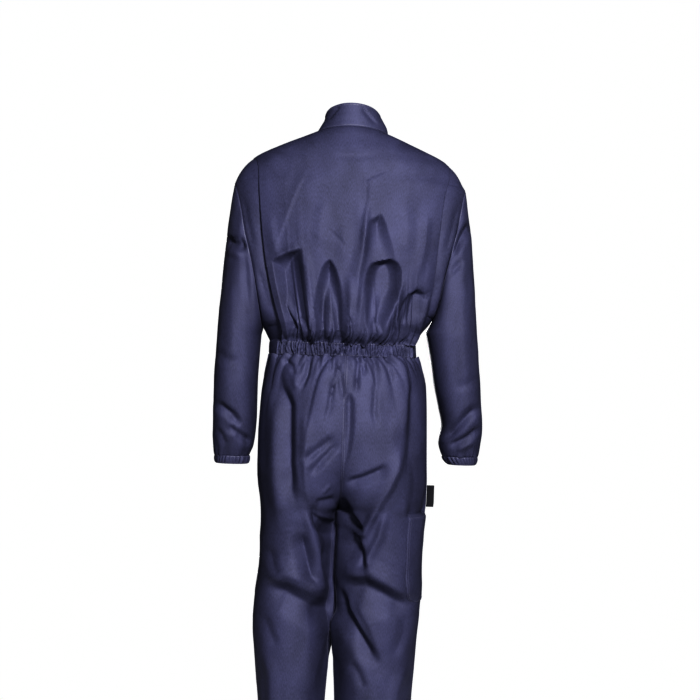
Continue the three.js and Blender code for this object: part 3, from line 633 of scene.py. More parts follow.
for side in ("left", "right"):
    rows = rows_through(side, pleat_top - 1)
    edge = along(pleat_edge, side, np.minimum(rows, pleat_top)) - strip_reach_under
    side_turn = side_edge_turn(side, rows)
    under_turn = torso_turn(side, edge, rows)
    pleat_line = torso_turn(side, edge + strip_reach_under, rows)
    share = np.linspace(0, 1, 26)
    turn = side_turn[:, None] * (1 - share) + under_turn[:, None] * share
    level = rows[:, None]
    strip = torso(on_side(side, turn), level)
    middle = torso_middle(strip)
    part = (turn - side_turn[:, None]) / np.maximum(pleat_line - side_turn, 0.02)[:, None]
    deepening = np.clip((-90 - level) / 130, 0, 1)
    open_low = np.clip((-250 - level) / 90, 0, 1) * np.clip((level - waist_top) / 30, 0, 1)
    depth = (0.6 + 13 * deepening + 9 * open_low) * np.clip(part, 0, 1) ** 1.8
    under = np.clip((part - 1) / np.maximum(part[:, [-1]] - 1, 0.01), 0, 1)
    depth += (strip_depth_under - depth) * under * under * (3 - 2 * under)
    lift = -depth
    fade = np.clip(reach_from(strip, "first", 1) / 14, 0, 1)
    lift += fade * crease_height(strip[..., 0], strip[..., 2], strip_creases)
    lift += seam_dip(strip, [("first", 1), ("last", 0)], 0.9, 3)
    strip = push(strip, middle, lift)
    sewn[f"back_strip_{side}"] = (strip, middle)
    piece = cloth_grid(f"back_strip_{side}", strip, torso_middle(strip))
    thicken(piece)
    dress(piece, f"back_side_{side}", navy_twill)


# Fronts
# Left and right front panels of the same twill, from the shoulder seam to the waist seam,
# closed by the zip down the middle.

front_edge = 3.4
front_creases = [
    ([(150, -150), (130, -230), (110, -330)], 3, 16, 12),
    ([(60, -380), (66, -410), (70, -450)], 4, 9, 9),
    ([(110, -370), (112, -410), (108, -452)], -4, 9, 9),
    ([(24, -390), (28, -420), (30, -452)], -3, 8, 8),
    ([(200, -170), (170, -240), (150, -300)], -4, 14, 11),
    ([(-146, -160), (-120, -240), (-114, -340)], 3, 16, 12),
    ([(-54, -376), (-60, -410), (-66, -450)], 4, 9, 9),
    ([(-98, -360), (-104, -410), (-100, -452)], -4, 9, 9),
    ([(-28, -396), (-26, -424), (-24, -452)], -3, 8, 8),
    ([(-196, -180), (-172, -236), (-140, -306)], -4, 14, 11),
]

for side in ("left", "right"):
    rows = rows_through(side, neck_seam, 4)
    start = side_edge_turn(side, rows)
    end = torso_turn(side, front_edge + 0 * rows, rows)
    share = np.linspace(0, 1, 52)
    turn = start[:, None] * (1 - share) + end[:, None] * share
    front = torso(on_side(side, -turn), rows[:, None])
    middle = torso_middle(front)
    lift = crease_height(front[..., 0], front[..., 2], front_creases)
    above_band = front[..., 2] - waist_top
    run = reach_from(front, "first", 1)
    lift += gathers(run, above_band, 17, 1.8, 14, 21)
    lift += crumple(front, 90, 1.0, 4.4)
    inner = np.minimum(reach_from(front, "first", 1), reach_from(front, "last", 1))
    lift *= np.clip(inner / 22, 0, 1) * np.clip((-14 - rows[:, None]) / 30, 0, 1)
    lift += seam_dip(front, [("first", 1), ("first", 0), ("last", 0)], 0.9, 3)
    front = push(front, middle, lift)
    sewn[f"front_{side}"] = (front, middle)
    front = seam_allowance(front, torso_middle(front), "first", 0, 2.5, 2.5)
    front = seam_allowance(front, torso_middle(front), "first", 1, 4, 2)
    piece = cloth_grid(f"front_{side}", front, torso_middle(front))
    thicken(piece)
    dress(piece, f"front_{side}", navy_twill)


# Sleeves
# One tube of twill each, with a dropped armhole seam and an underarm seam, loose all the way
# down and gathered into the elastic cuff.

sleeve_sections = {
    "left": table(
        "z outer inner back front middle square",
        [
            [-445, 279, 184, 74, 74, 2, 2.5],
            [-500, 281, 187, 72, 72, 1, 2.5],
            [-560, 283, 189, 70, 69, -2, 2.5],
            [-620, 283, 189, 65, 65, -8, 2.5],
            [-660, 283, 191, 60, 60, -13, 2.4],
            [-690, 281, 195, 52, 52, -16, 2.3],
            [-712, 279, 203, 43, 43, -18, 2.2],
            [-731, 278, 205, 40, 40, -18, 2.2],
        ],
    ),
    "right": table(
        "z outer inner back front middle square",
        [
            [-430, 288, 177, 75, 75, 2, 2.5],
            [-486, 293, 189, 73, 73, 1, 2.5],
            [-540, 300, 198, 71, 70, -2, 2.5],
            [-592, 304, 210, 67, 67, -6, 2.5],
            [-632, 307, 218, 62, 62, -11, 2.4],
            [-668, 304, 213, 54, 54, -15, 2.3],
            [-700, 300, 222, 43, 43, -18, 2.2],
            [-719, 297, 235, 38, 38, -18, 2.2],
        ],
    ),
}

sleeve_creases = [
    ([(270, -236), (250, -248), (232, -247), (214, -262)], -12, 8, 14),
    ([(264, -262), (244, -270), (222, -276)], 5, 9, 9),
    ([(221, -262), (216, -330), (208, -390), (200, -440)], -4, 8, 10),
    ([(250, -290), (246, -370), (240, -450), (244, -540)], 2.5, 14, 14),
    ([(-270, -184), (-254, -210), (-240, -232), (-222, -262)], -12, 10, 9),
    ([(-248, -270), (-238, -286), (-224, -300)], -5, 7, 8),
    ([(-258, -300), (-252, -380), (-256, -460), (-266, -540)], 2.5, 14, 14),
    ([(-302, -584), (-276, -606), (-250, -634), (-220, -666)], -13, 9, 12),
    ([(-304, -630), (-274, -656), (-252, -668), (-226, -678)], -9, 8, 8),
    ([(-290, -662), (-268, -676), (-248, -682)], 4, 7, 8),
    ([(-296, -520), (-270, -540), (-240, -548)], -3, 10, 12),
    ([(280, -596), (256, -611), (240, -622), (220, -648)], -12, 9, 10),
    ([(252, -644), (230, -660), (212, -672), (194, -684)], -9, 8, 9),
    ([(276, -650), (262, -668), (252, -690)], -4, 7, 8),
    ([(236, -630), (230, -650), (234, -676)], 4, 8, 8),
    ([(280, -480), (256, -500), (226, -506)], -3, 10, 12),
]


sleeve_girth = 250
sleeve_turns = np.linspace(0, 2 * math.pi, 121)


def sleeve_ring(side, turn, z):
    z = z + 0 * turn
    rows = sleeve_sections[side]
    outer, inner = along(rows, "outer", z), along(rows, "inner", z)
    half = (outer - inner) / 2
    points = ring(turn, half, half, along(rows, "back", z), along(rows, "front", z),
                  along(rows, "square", z), z)
    points[..., 0] += (outer + inner) / 2
    points[..., 1] += along(rows, "middle", z)
    if side == "right":
        points[..., 0] *= -1
    return points


# The armhole's line runs down the back of the torso's side and up its front
def armhole_line(side, turn):
    z = armhole_top[side] + (armhole_bottom[side] - armhole_top[side]) * (1 - np.cos(turn)) / 2
    from_side = torso_turn(side, along(armhole_seam, side, z), z)
    face = np.where(np.sin(turn) >= 0, 1, -1)
    return torso(on_side(side, face * from_side), z)


for side in ("left", "right"):
    rows = sleeve_sections[side]
    fan_end, cuff_top = rows["z"][0], rows["z"][-2]
    turn = sleeve_turns
    hole = armhole_line(side, turn)
    # both ends of the hole's line meet at its top
    hole[0] = hole[-1] = (hole[0] + hole[-1]) / 2
    first_ring = sleeve_ring(side, turn, fan_end)
    t = np.linspace(0, 1, 84)[:, None]
    fan = hole[None] * (1 - t[..., None]) + first_ring[None] * t[..., None]
    bulge = 4 * np.sin(math.pi * t)
    outward = 1 if side == "left" else -1
    fan[..., 0] += outward * bulge * np.maximum(0, np.cos(turn))
    fan[..., 1] += bulge * np.sin(turn)
    lower = np.linspace(fan_end, cuff_top, 84)[1:]
    tube = sleeve_ring(side, turn[None] + 0 * lower[:, None], lower[:, None])
    sleeve = np.concatenate((fan, tube), axis=0)
    middle = sleeve.mean(axis=1, keepdims=True) + 0 * sleeve
    x, z = sleeve[..., 0], sleeve[..., 2]
    behind = np.clip(np.sin(turn) / 0.4, 0, 1)[None]
    ahead = np.clip(-np.sin(turn) / 0.4, 0, 1)[None]
    lift = behind * crease_height(x, z, sleeve_creases)
    lift += 0.7 * ahead * crease_height(x, z - 8, sleeve_creases)
    above_cuff = z - cuff_top
    run = np.linspace(0, sleeve_girth, len(turn))[None] + 0 * z
    lift += gathers(run, above_cuff, 12.5, 2.6, 16, 31 if side == "left" else 37)
    lift -= 1.2 * np.exp(-above_cuff / 14)
    lift += crumple(sleeve * (1, 1, 0.7), 55, 0.7, 9.1) + crumple(sleeve, 130, 1.5, 5.2)
    lift *= np.clip(reach_from(sleeve, "first", 0) / 26, 0, 1)
    inner_side = np.clip(-np.cos(turn), 0, 1)[None]
    lift = np.where(lift > 0, lift * (1 - inner_side), lift)
    lift += seam_dip(sleeve, [("first", 0), ("last", 0)], 0.9, 3)
    normal = grid_normals(sleeve, middle)
    normal[:, 0] = normal[:, -1] = normal[:, 0] + normal[:, -1]
    normal /= np.linalg.norm(normal, axis=-1, keepdims=True)
    lift[:, -1] = lift[:, 0]
    sleeve = sleeve + normal * lift[..., None]
    sewn[f"sleeve_{side}"] = (sleeve, middle)
    sleeve = seam_allowance(sleeve, middle, "first", 0)
    sleeve[0, -1] = sleeve[0, 0]
    middle = sleeve.mean(axis=1, keepdims=True) + 0 * sleeve
    sleeve = seam_allowance(sleeve, middle, "last", 0, 3, 1.5)
    sleeve[-1, -1] = sleeve[-1, 0]
    middle = sleeve.mean(axis=1, keepdims=True) + 0 * sleeve
    piece = cloth_grid(f"sleeve_{side}", sleeve, middle, looped=True)
    thicken(piece)
    dress(piece, f"sleeve_{side}", navy_twill)


# Cuffs
# A casing turned up at each wrist, with flat elastic inside that draws the cloth into fine
# gathers, held by a row of stitches at its top edge.

cuff_height = 18
cuff_girth = 220
cuff_turns = np.linspace(0, 2 * math.pi, 217)

for side in ("left", "right"):
    cuff_top = sleeve_sections[side]["z"][-2]
    level = np.linspace(cuff_top, cuff_top - cuff_height, 15)
    cuff = sleeve_ring(side, cuff_turns[None] + 0 * level[:, None], level[:, None])
    middle = cuff.mean(axis=1, keepdims=True) + 0 * cuff
    run = np.linspace(0, cuff_girth, len(cuff_turns))[None] + 0 * cuff[..., 2]
    down = (cuff_top - cuff[..., 2]) / cuff_height
    puff = 1.6 * np.sin(math.pi * np.clip(down, 0, 1)) ** 0.6
    lift = puff + (0.5 + 0.5 * puff) * gathers(run + 3 * down, 0 * run, 7.0, 1.7, 1000, 41)
    lift -= 1.4
    lift[:, -1] = lift[:, 0]
    normal = grid_normals(cuff, middle)
    normal[:, 0] = normal[:, -1] = normal[:, 0] + normal[:, -1]
    normal[..., 2] = 0
    normal /= np.linalg.norm(normal, axis=-1, keepdims=True)
    cuff = cuff + normal * lift[..., None]
    sewn[f"cuff_{side}"] = (cuff, middle)
    piece = cloth_grid(f"cuff_{side}", cuff, middle, looped=True)
    thicken(piece, 1.4)
    dress(piece, f"cuff_{side}", navy_twill)


# Collar
# A plain stand collar of two layers of twill with stiffening, sewn to the neck seam and
# stitched along its edge. It stands higher at the back and leans in towards the neck.

collar_top = 40
collar_sections = table(
    "z left right back front lean square",
    [
        [collar_top, 57, 61, 50, 58, 0.48, 2.0],
        [24, 61, 71, 53, 63, 0.42, 2.0],
        [8, 70, 79, 57, 70, 0.36, 2.0],
        [neck_seam, 79, 81, 60, 76, 0.30, 2.0],
    ],
)

collar_creases = [
    ([(26, 44), (38, 30), (52, 12)], -3.2, 3, 6),
    ([(-20, 44), (-38, 24), (-58, 4)], -3.4, 3, 7),
    ([(-10, 10), (16, 12), (40, 8)], -0.8, 4, 6),
]



def collar_sizes(z):
    return {name: along(collar_sections, name, z) for name in collar_sections if name != "z"}


levels = np.linspace(collar_top, neck_seam, 26)
share = np.linspace(0, 1, 150)
sizes = collar_sizes(levels)
start = -turn_at_width(front_edge, sizes["left"], sizes["square"])
end = math.pi + turn_at_width(front_edge, sizes["right"], sizes["square"])
angle = start[:, None] * (1 - share) + end[:, None] * share
sizes = {name: value[:, None] for name, value in sizes.items()}
collar = ring(angle, z=levels[:, None], **sizes)
middle = collar * (0, 0, 1)
behind = np.clip(collar[..., 1] / 20, 0, 1)
lift = behind * crease_height(collar[..., 0], collar[..., 2] - 14, collar_creases)
lift += crumple(collar, 45, 0.35, 6.6)
lift += seam_dip(collar, [("last", 0)], 1.0, 2.5)
lift += 0.6 * np.exp(-((levels[:, None] - (collar_top - 2)) / 3) ** 2)
collar = push(collar, middle, lift)
sewn["collar"] = (collar, middle)
collar = seam_allowance(collar, collar * (0, 0, 1), "last", 0, 3, 1.5)
piece = cloth_grid("collar", collar, collar * (0, 0, 1))
thicken(piece, 2.2)
dress(piece, "collar", navy_twill)


# Waistband
# Flat elastic in a casing across the back, which draws it into many fine uneven gathers. The
# band runs on plain round each side to the zip.

elastic_end = {"left": 147, "right": 150}


# Out from the body and neither up nor down, so a band keeps its height
def push_level(points, middle, amount):
    normal = grid_normals(points, middle)
    normal[..., 2] = 0
    normal /= np.linalg.norm(normal, axis=-1, keepdims=True)
    return points + normal * amount[..., None]


level = np.linspace(waist_top, waist_bottom, 25)
start = torso_turn("left", elastic_end["left"] + 0 * level, level)
end = math.pi - torso_turn("right", elastic_end["right"] + 0 * level, level)
share = np.linspace(0, 1, 320)
angle = start[:, None] * (1 - share) + end[:, None] * share
band = torso(angle, level[:, None])
middle = band * (0.3, 0, 1)
run = reach_from(band, "first", 1)
down = (waist_top - band[..., 2]) / (waist_top - waist_bottom)
puff = np.sin(math.pi * np.clip(down, 0, 1)) ** 0.5
waver = 3 * np.sin(run / 31 + 2.2 * down) + 2 * np.sin(run / 13 + 1.4 * down)
drawn = gathers(run + waver * down, (waist_top - waist_bottom) * down, 6.2, 4.4, 4000, 11)
lift = -1.8 + 1.4 * puff + (0.75 + 0.25 * puff) * drawn
lift += crumple(band * (1, 1, 0.45), 6, 1.2, 3.3)
band = push_level(band, middle, lift)
sewn["elastic_band"] = (band, middle)
band = seam_allowance(band, band * (0.3, 0, 1), "first", 0, 5, 2)
band = seam_allowance(band, band * (0.3, 0, 1), "last", 0, 5, 2)
piece = cloth_grid("elastic_band", band, band * (0.3, 0, 1))
thicken(piece, 1.0)
dress(piece, "waist_elastic", navy_twill)

for side in ("left", "right"):
    level = np.linspace(waist_top, waist_bottom, 11)
    start = torso_turn(side, elastic_end[side] + 0 * level, level)
    end = -torso_turn(side, front_edge + 0 * level, level)
    share = np.linspace(0, 1, 60)
    turn = start[:, None] * (1 - share) + end[:, None] * share
    plain = torso(on_side(side, turn), level[:, None])
    middle = plain * (0.3, 0, 1)
    lift = seam_dip(plain, [("first", 0), ("last", 0)], 1.0, 2.5) + crumple(plain, 30, 0.3, 8.2)
    plain = push_level(plain, middle, lift)
    plain = seam_allowance(plain, plain * (0.3, 0, 1), "first", 0, 5, 2)
    plain = seam_allowance(plain, plain * (0.3, 0, 1), "last", 0, 5, 2)
    piece = cloth_grid(f"plain_band_{side}", plain, plain * (0.3, 0, 1))
    thicken(piece, 1.4)
    dress(piece, f"waistband_front_{side}", navy_twill)


# Trouser panels
# Back and front panel for each leg, of the same twill. The backs are eased into the elastic,
# meet in the centre back seam and the inseams, and fall in long uneven folds over the seat.

leg_sections = {
    "left": table(
        "z outer inner back front square",
        [
            [waist_bottom, 166, -158, 104, 115, 2.2],
            [-500, 169, -156, 113, 117, 2.2],
            [-540, 175, -150, 125, 120, 2.2],
            [-600, 180, -130, 134, 121, 2.2],
            [-660, 182, -100, 139, 118, 2.2],
            [-720, 182, -66, 138, 114, 2.2],
            [-770, 179, -34, 131, 110, 2.2],
            [-800, 175, -14, 125, 107, 2.2],
            [crotch, 173, 1.2, 119, 105, 2.2],
            [-870, 171, 2.5, 111, 101, 2.2],
            [-940, 173, 4, 105, 98, 2.2],
            [-1014, 180, 6, 102, 96, 2.2],
            [-1080, 181, 10, 100, 94, 2.2],
            [-1135, 177, 14, 98, 92, 2.2],
            [-1225, 167, 20, 94, 89, 2.1],
            [-1400, 158, 28, 89, 86, 2.1],
            [hem, 153, 34, 86, 84, 2.1],
        ],
    ),
    "right": table(
        "z outer inner back front square",
        [
            [waist_bottom, 158, -166, 104, 115, 2.2],
            [-500, 166, -162, 113, 117, 2.2],
            [-540, 178, -152, 125, 120, 2.2],
            [-600, 184, -130, 134, 121, 2.2],
            [-660, 186, -100, 139, 118, 2.2],
            [-720, 188, -66, 138, 114, 2.2],
            [-770, 190, -34, 131, 110, 2.2],
            [-800, 190, -14, 125, 107, 2.2],
            [crotch, 188, 1.2, 119, 105, 2.2],
            [-870, 184, 0, 111, 101, 2.2],
            [-940, 183, -1, 105, 98, 2.2],
            [-1014, 183, -2, 102, 96, 2.2],
            [-1080, 178, -3, 100, 94, 2.2],
            [-1135, 175, -4, 98, 92, 2.2],
            [-1225, 169, 1, 94, 89, 2.1],
            [-1400, 160, 12, 89, 86, 2.1],
            [hem, 152, 24, 86, 84, 2.1],
        ],
    ),
}

leg_creases = [
    # below the waist
    ([(132, -494), (122, -503), (110, -512), (103, -535)], -7, 5, 6),
    ([(110, -505), (103, -535), (101, -566)], 6, 9, 8),
    ([(66, -455), (72, -490), (78, -527), (91, -562)], -9, 5, 6),
    ([(46, -460), (50, -491), (55, -520)], -5, 4, 4),
    ([(26, -460), (27, -490), (28, -528)], -5, 4, 4),
    ([(22, -532), (25, -590), (33, -625)], -4, 6, 6),
    ([(20, -460), (15, -492), (8, -532), (1, -563), (-2, -593)], -4, 6, 6),
    ([(-31, -455), (-30, -492), (-29, -531), (-27, -569)], -7, 6, 5),
    ([(-45, -460), (-44, -490), (-43, -534)], -5, 4, 4),
    ([(-60, -455), (-64, -491), (-70, -537), (-67, -606), (-77, -648)], -4, 6, 6),
    ([(-84, -455), (-91, -489), (-101, -525), (-108, -548)], -4, 5, 6),
    ([(-104, -450), (-119, -484), (-136, -550), (-132, -620), (-126, -674)], 9, 9, 20),
    ([(-126, -674), (-119, -728), (-103, -766), (-78, -810), (-58, -850)], 9, 9, 16),
    ([(-150, -520), (-153, -600), (-148, -680), (-142, -760)], -8, 14, 10),
    # the seat
    ([(138, -514), (134, -560), (120, -594), (116, -657), (114, -715), (106, -772), (90, -816)],
     -20, 13, 20),
    ([(80, -600), (78, -657), (78, -715), (72, -775), (56, -820)], 5, 12, 8),
    ([(142, -560), (144, -660), (140, -760), (122, -880)], 6, 14, 14),
    ([(85, -716), (64, -698), (34, -675), (11, -655)], -8, 8, 9),
    ([(67, -743), (41, -709), (15, -681), (3, -664)], -8, 8, 9),
    ([(39, -782), (20, -761)], 3, 4, 4),
    ([(53, -801), (30, -799), (6, -793)], -8, 8, 10),
    ([(-104, -716), (-77, -731), (-47, -745), (-7, -758)], -11, 14, 7),
    ([(0, -790), (-24, -835), (-48, -862)], -13, 9, 14),
    ([(-13, -853), (-36, -868), (-55, -865), (-67, -840), (-85, -801)], 10, 8, 8),
    ([(-22, -866), (-44, -902), (-60, -955)], -19, 9, 24),
    ([(-100, -804), (-87, -870), (-65, -917), (-58, -955)], 8, 10, 8),
    ([(82, -862), (62, -924), (44, -992)], -18, 9, 22),
    ([(74, -815), (50, -890), (32, -985)], 9, 9, 9),
    ([(58, -801), (50, -847), (25, -873), (7, -890)], -9, 9, 8),
    ([(22, -896), (22, -940), (10, -1000)], -6, 8, 9),
    ([(151, -901), (139, -939), (122, -965)], -5, 12, 10),
    ([(127, -871), (97, -856)], 1.2, 3, 4),
    ([(-156, -690), (-160, -750), (-164, -800)], -5, 16, 9),
    # above the mouth of the rule pocket
    ([(-140, -827), (-160, -826), (-215, -824)], -11, 44, 3),
    # the knees
    ([(152, -984), (117, -958), (91, -964), (54, -976), (5, -1006)], 11, 26, 16),
    ([(164, -986), (110, -998), (59, -1021), (-6, -1052)], -21, 16, 34),
    ([(0, -966), (-28, -950), (-60, -944), (-98, -966), (-129, -988), (-165, -1016)], 10, 24, 14),
    ([(2, -986), (-59, -980), (-98, -994), (-176, -1028)], -20, 15, 32),
    ([(4, -980), (-18, -1036), (-48, -1080), (-98, -1152)], -20, 9, 22),
    ([(-40, -1010), (-72, -1064), (-104, -1135)], 4, 20, 6),
    ([(2, -1053), (26, -1093), (38, -1143), (46, -1182), (50, -1225)], 6, 10, 30),
    ([(-153, -1030), (-147, -1084), (-126, -1138)], -5, 10, 14),
    ([(-33, -1141), (-53, -1171), (-66, -1202)], -5, 8, 10),
    ([(158, -1047), (142, -1085), (125, -1119)], -4, 10, 12),
    ([(150, -1120), (136, -1180), (128, -1290)], 5, 14, 10),
    ([(-152, -1150), (-134, -1200), (-122, -1290)], 6, 12, 14),
    # the lower legs
    ([(60, -1290), (90, -1338), (124, -1362)], -6, 10, 12),
    ([(50, -1420), (84, -1450), (120, -1466)], -5, 10, 12),
    ([(-50, -1300), (-85, -1345), (-124, -1362)], -6, 10, 12),
    ([(-44, -1430), (-80, -1460), (-120, -1470)], -5, 10, 12),
    ([(90, -1360), (94, -1440), (98, -1560)], 4, 16, 14),
    ([(-86, -1370), (-84, -1450), (-90, -1560)], 4, 14, 16),
]

leg_hollows = [
    # depth, wall, rows of z left right
    (11, 17, [[-566, -10, -18], [-584, -2, -26], [-640, -2, -28], [-690, -2, -22],
              [-740, -2, -8]]),
    (17, 30, [[-800, 4, -4], [-830, 4, -30], [-860, 4, -58], [-885, 4, -52], [-970, 4, -28]]),
    (14, 28, [[-826, 60, 48], [-856, 52, 0], [-890, 42, 0], [-950, 46, 0], [-1000, 42, 0],
              [-1060, 26, 0]]),
]

leg_front_creases = [
    ([(100, -500), (104, -600), (110, -760)], 4, 16, 14),
    ([(40, -820), (80, -780), (130, -760)], -5, 12, 12),
    ([(30, -850), (80, -880), (140, -890)], -4, 12, 12),
    ([(60, -1010), (100, -1000), (150, -1020)], 6, 14, 14),
    ([(60, -1060), (100, -1080), (150, -1070)], -6, 12, 14),
    ([(94, -1120), (96, -1300), (94, -1580)], 5, 16, 16),
    ([(-100, -500), (-106, -600), (-112, -760)], 4, 16, 14),
    ([(-40, -820), (-84, -786), (-134, -764)], -5, 12, 12),
    ([(-30, -856), (-84, -884), (-144, -880)], -4, 12, 12),
    ([(-56, -1014), (-100, -1004), (-150, -1028)], 6, 14, 14),
    ([(-60, -1066), (-100, -1084), (-150, -1078)], -6, 12, 14),
    ([(-86, -1120), (-88, -1300), (-88, -1580)], 5, 16, 16),
    ([(60, -1540), (90, -1552), (130, -1546)], -5, 9, 10),
    ([(-54, -1540), (-90, -1550), (-126, -1542)], -5, 9, 10),
]


# Down to the knees the left leg stands a little behind the right one at the inseams

leg_lap = 11


def leg_size(side, name, z):
    return along(leg_sections[side], name, z)


def leg(side, turn, z):
    z = z + 0 * turn
    outer, inner = leg_size(side, "outer", z), leg_size(side, "inner", z)
    half = (outer - inner) / 2
    points = ring(turn, half, half, leg_size(side, "back", z), leg_size(side, "front", z),
                  leg_size(side, "square", z), z)
    points[..., 0] += (outer + inner) / 2
    if side == "right":
        points[..., 0] *= -1
    touching = np.clip((crotch + 8 - z) / 10, 0, 1) * np.clip((z + 1150) / 50, 0, 1)
    near_inseam = np.clip(-np.cos(turn), 0, 1) ** 2
    swing = leg_lap * touching * near_inseam * np.tanh(points[..., 1] / 22)
    tucked = np.clip((-np.cos(turn) - 0.4) / 0.6, 0, 1) ** 2 * np.clip((crotch - z) / 40, 0, 1)
    points[..., 1] *= 1 - 0.4 * tucked * (np.sin(turn) > 0)
    points[..., 0] += swing
    return points


def leg_turn(side, width, z):
    outer, inner = leg_size(side, "outer", z), leg_size(side, "inner", z)
    half, centre = (outer - inner) / 2, (outer + inner) / 2
    return turn_at_width(width - centre, half, leg_size(side, "square", z))


# A panel ends at its front or back edge, and below the crotch at the inseam
def leg_end_turn(side, z, edge):
    return np.where(z <= crotch, math.pi, leg_turn(side, edge, z))


# The rows lie three millimetres apart down to the shins, and further apart below
shin_top = -1240
upper_rows = np.linspace(waist_bottom, crotch, 112)
knee_rows = np.linspace(crotch, shin_top, 140)[1:]
lower_rows = np.linspace(shin_top, hem, 66)[1:]
leg_rows = np.concatenate((upper_rows, knee_rows, lower_rows))
zip_end = -700
trouser_backs = {}

for side in ("left", "right"):
    for face, columns in (("back", 96), ("front", 50)):
        sign = 1 if face == "back" else -1
        edge = np.where(leg_rows > zip_end, front_edge, 0) if face == "front" else 0 * leg_rows
        end = leg_end_turn(side, leg_rows, edge)
        share = np.linspace(0, 1, columns)
        turn = sign * end[:, None] * share
        panel = leg(side, turn, leg_rows[:, None])
        inner, outer = leg_size(side, "inner", leg_rows), leg_size(side, "outer", leg_rows)
        middle = panel * (0, 0, 1)
        middle[..., 0] = ((inner + outer) / 2)[:, None] * (1 if side == "left" else -1)
        x, z = panel[..., 0], panel[..., 2]
        creases = leg_creases if face == "back" else leg_front_creases
        lift = crease_height(x, z, creases)
        if face == "back":
            lift += hollow_height(x, z, leg_hollows)
        below_band = waist_bottom - z
        run = reach_from(panel, "first", 1)
        if face == "back":
            eased = gathers(run, below_band, 19, 8.5, 26, 51 if side == "left" else 57)
            lift += eased * np.clip(reach_from(panel, "last", 1) / 16, 0, 1)
            lift -= 1.0 * np.exp(-below_band / 20)
        lift += crumple(panel * (1, 1, 0.6), 60, 0.7, 1.7) + crumple(panel, 150, 1.8, 3.9)
        from_side = reach_from(panel, "first", 1)
        from_end = reach_from(panel, "last", 1)
        lift = np.maximum(lift, -2.4 - 0.6 * below_band)
        lift *= np.clip(from_side / 14, 0, 1)
        below_crotch = leg_rows[:, None] <= crotch
        lift = np.where(below_crotch, lift * np.clip(from_end / 12, 0, 1), lift)
        lift += seam_dip(panel, [("first", 1)], 0.5, 2.5)
        lift += seam_dip(panel, [("last", 1), ("first", 0)], 0.2, 2)
        normal = grid_normals(panel, middle)
        at_middle = np.exp(-(from_end / 12) ** 2) * ~below_crotch
        normal[..., 0] *= 1 - at_middle
        panel = panel + normal * lift[..., None]
        sewn[f"trouser_{face}_{side}"] = (panel, middle)
        if face == "back":
            trouser_backs[side] = (panel, normal)
        piece = cloth_grid(f"trouser_{face}_{side}", panel, middle)
        thicken(piece)
        dress(piece, f"trouser_{face}_{side}", navy_twill)


# Rule pocket
# A patch of twill on the back of the right thigh, hemmed at its open top and sewn into the
# side seam, with its lower back corner rounded and two rows of stitches round its edge.

pocket_top = -822
pocket_bottom = -1015
seam_column = 0.6
pocket_edge = table(
    "z x",
    [
        [pocket_top, 150],
        [-845, 148],
        [-871, 146],
        [-967, 145],
        [-990, 147],
        [-1002, 151],
        [-1010, 158],
        [pocket_bottom, 172],
    ],
)

leg_panel, leg_normal = trouser_backs["right"]


# A point between the rows and columns of a panel's grid
def on_panel(grid, row, column):
    above = np.clip(np.floor(row).astype(int), 0, grid.shape[0] - 2)
    beside = np.clip(np.floor(column).astype(int), 0, grid.shape[1] - 2)
    down, across = (row - above)[..., None], (column - beside)[..., None]
    upper = grid[above, beside] * (1 - across) + grid[above, beside + 1] * across
    lower = grid[above + 1, beside] * (1 - across) + grid[above + 1, beside + 1] * across
    return upper * (1 - down) + lower * down


def row_at(z):
    return np.interp(-z, -leg_rows, np.arange(len(leg_rows)))


def column_at(side, width, z):
    turn = leg_turn(side, width, z)
    return turn / leg_end_turn(side, z, 0 * z) * (leg_panel.shape[1] - 1)


levels = np.linspace(pocket_top, pocket_bottom, 66)
share = np.linspace(0, 1, 40)
far = column_at("right", along(pocket_edge, "x", levels), levels)
row = row_at(levels)[:, None] + 0 * share
column = seam_column + (far[:, None] - seam_column) * share
pocket = on_panel(leg_panel, row, column)
pocket_normal = on_panel(leg_normal, row, column)
from_mouth = reach_from(pocket, "first", 0)
fullness = np.sin(math.pi * share)[None] ** 0.6
rise = 1.8 + 2.0 * fullness * np.exp(-((from_mouth - 30) / 26) ** 2)
rise += 1.8 * fullness * np.exp(-((from_mouth - 165) / 22) ** 2)
rise -= 1.1 * np.exp(-(reach_from(pocket, "last", 1) / 2.0) ** 2)
rise -= 1.1 * np.exp(-(reach_from(pocket, "last", 0) / 2.0) ** 2)
pocket = pocket + pocket_normal * rise[..., None]
middle = pocket * (0, 0, 1)
middle[..., 0] = -92
sewn["rule_pocket"] = (pocket, middle)
piece = cloth_grid("rule_pocket", pocket, middle)
thicken(piece, 1.2)
dress(piece, "rule_pocket", navy_twill)


# Side label
# A short blank tab of black woven tape, folded double and caught in the right side seam.

black_tape = twill("black_tape", (0.010, 0.010, 0.011), 0.5, 0.15)
label_top, label_bottom = -765, -812
label_width = 16
levels = np.linspace(label_top, label_bottom, 20)
out = np.linspace(0, label_width, 9)
side_x = -leg_size("right", "outer", levels) - 0.2
label = np.zeros((len(levels), len(out), 3))
label[..., 0] = side_x[:, None] - out
label[..., 1] = 1.0 + 0.12 * out + 0.5 * np.sin(out / 4)
label[..., 2] = levels[:, None]
middle = label - (0, 5, 0)
piece = cloth_grid("side_label", label, middle)
thicken(piece, 0.9)
dress(piece, "side_label", black_tape)


# Zip
# A long nylon zip down the front, closed to the top of the collar: a tape behind each edge,
# a chain of small teeth, and a nickel slider with its pull tab, which the solids give.

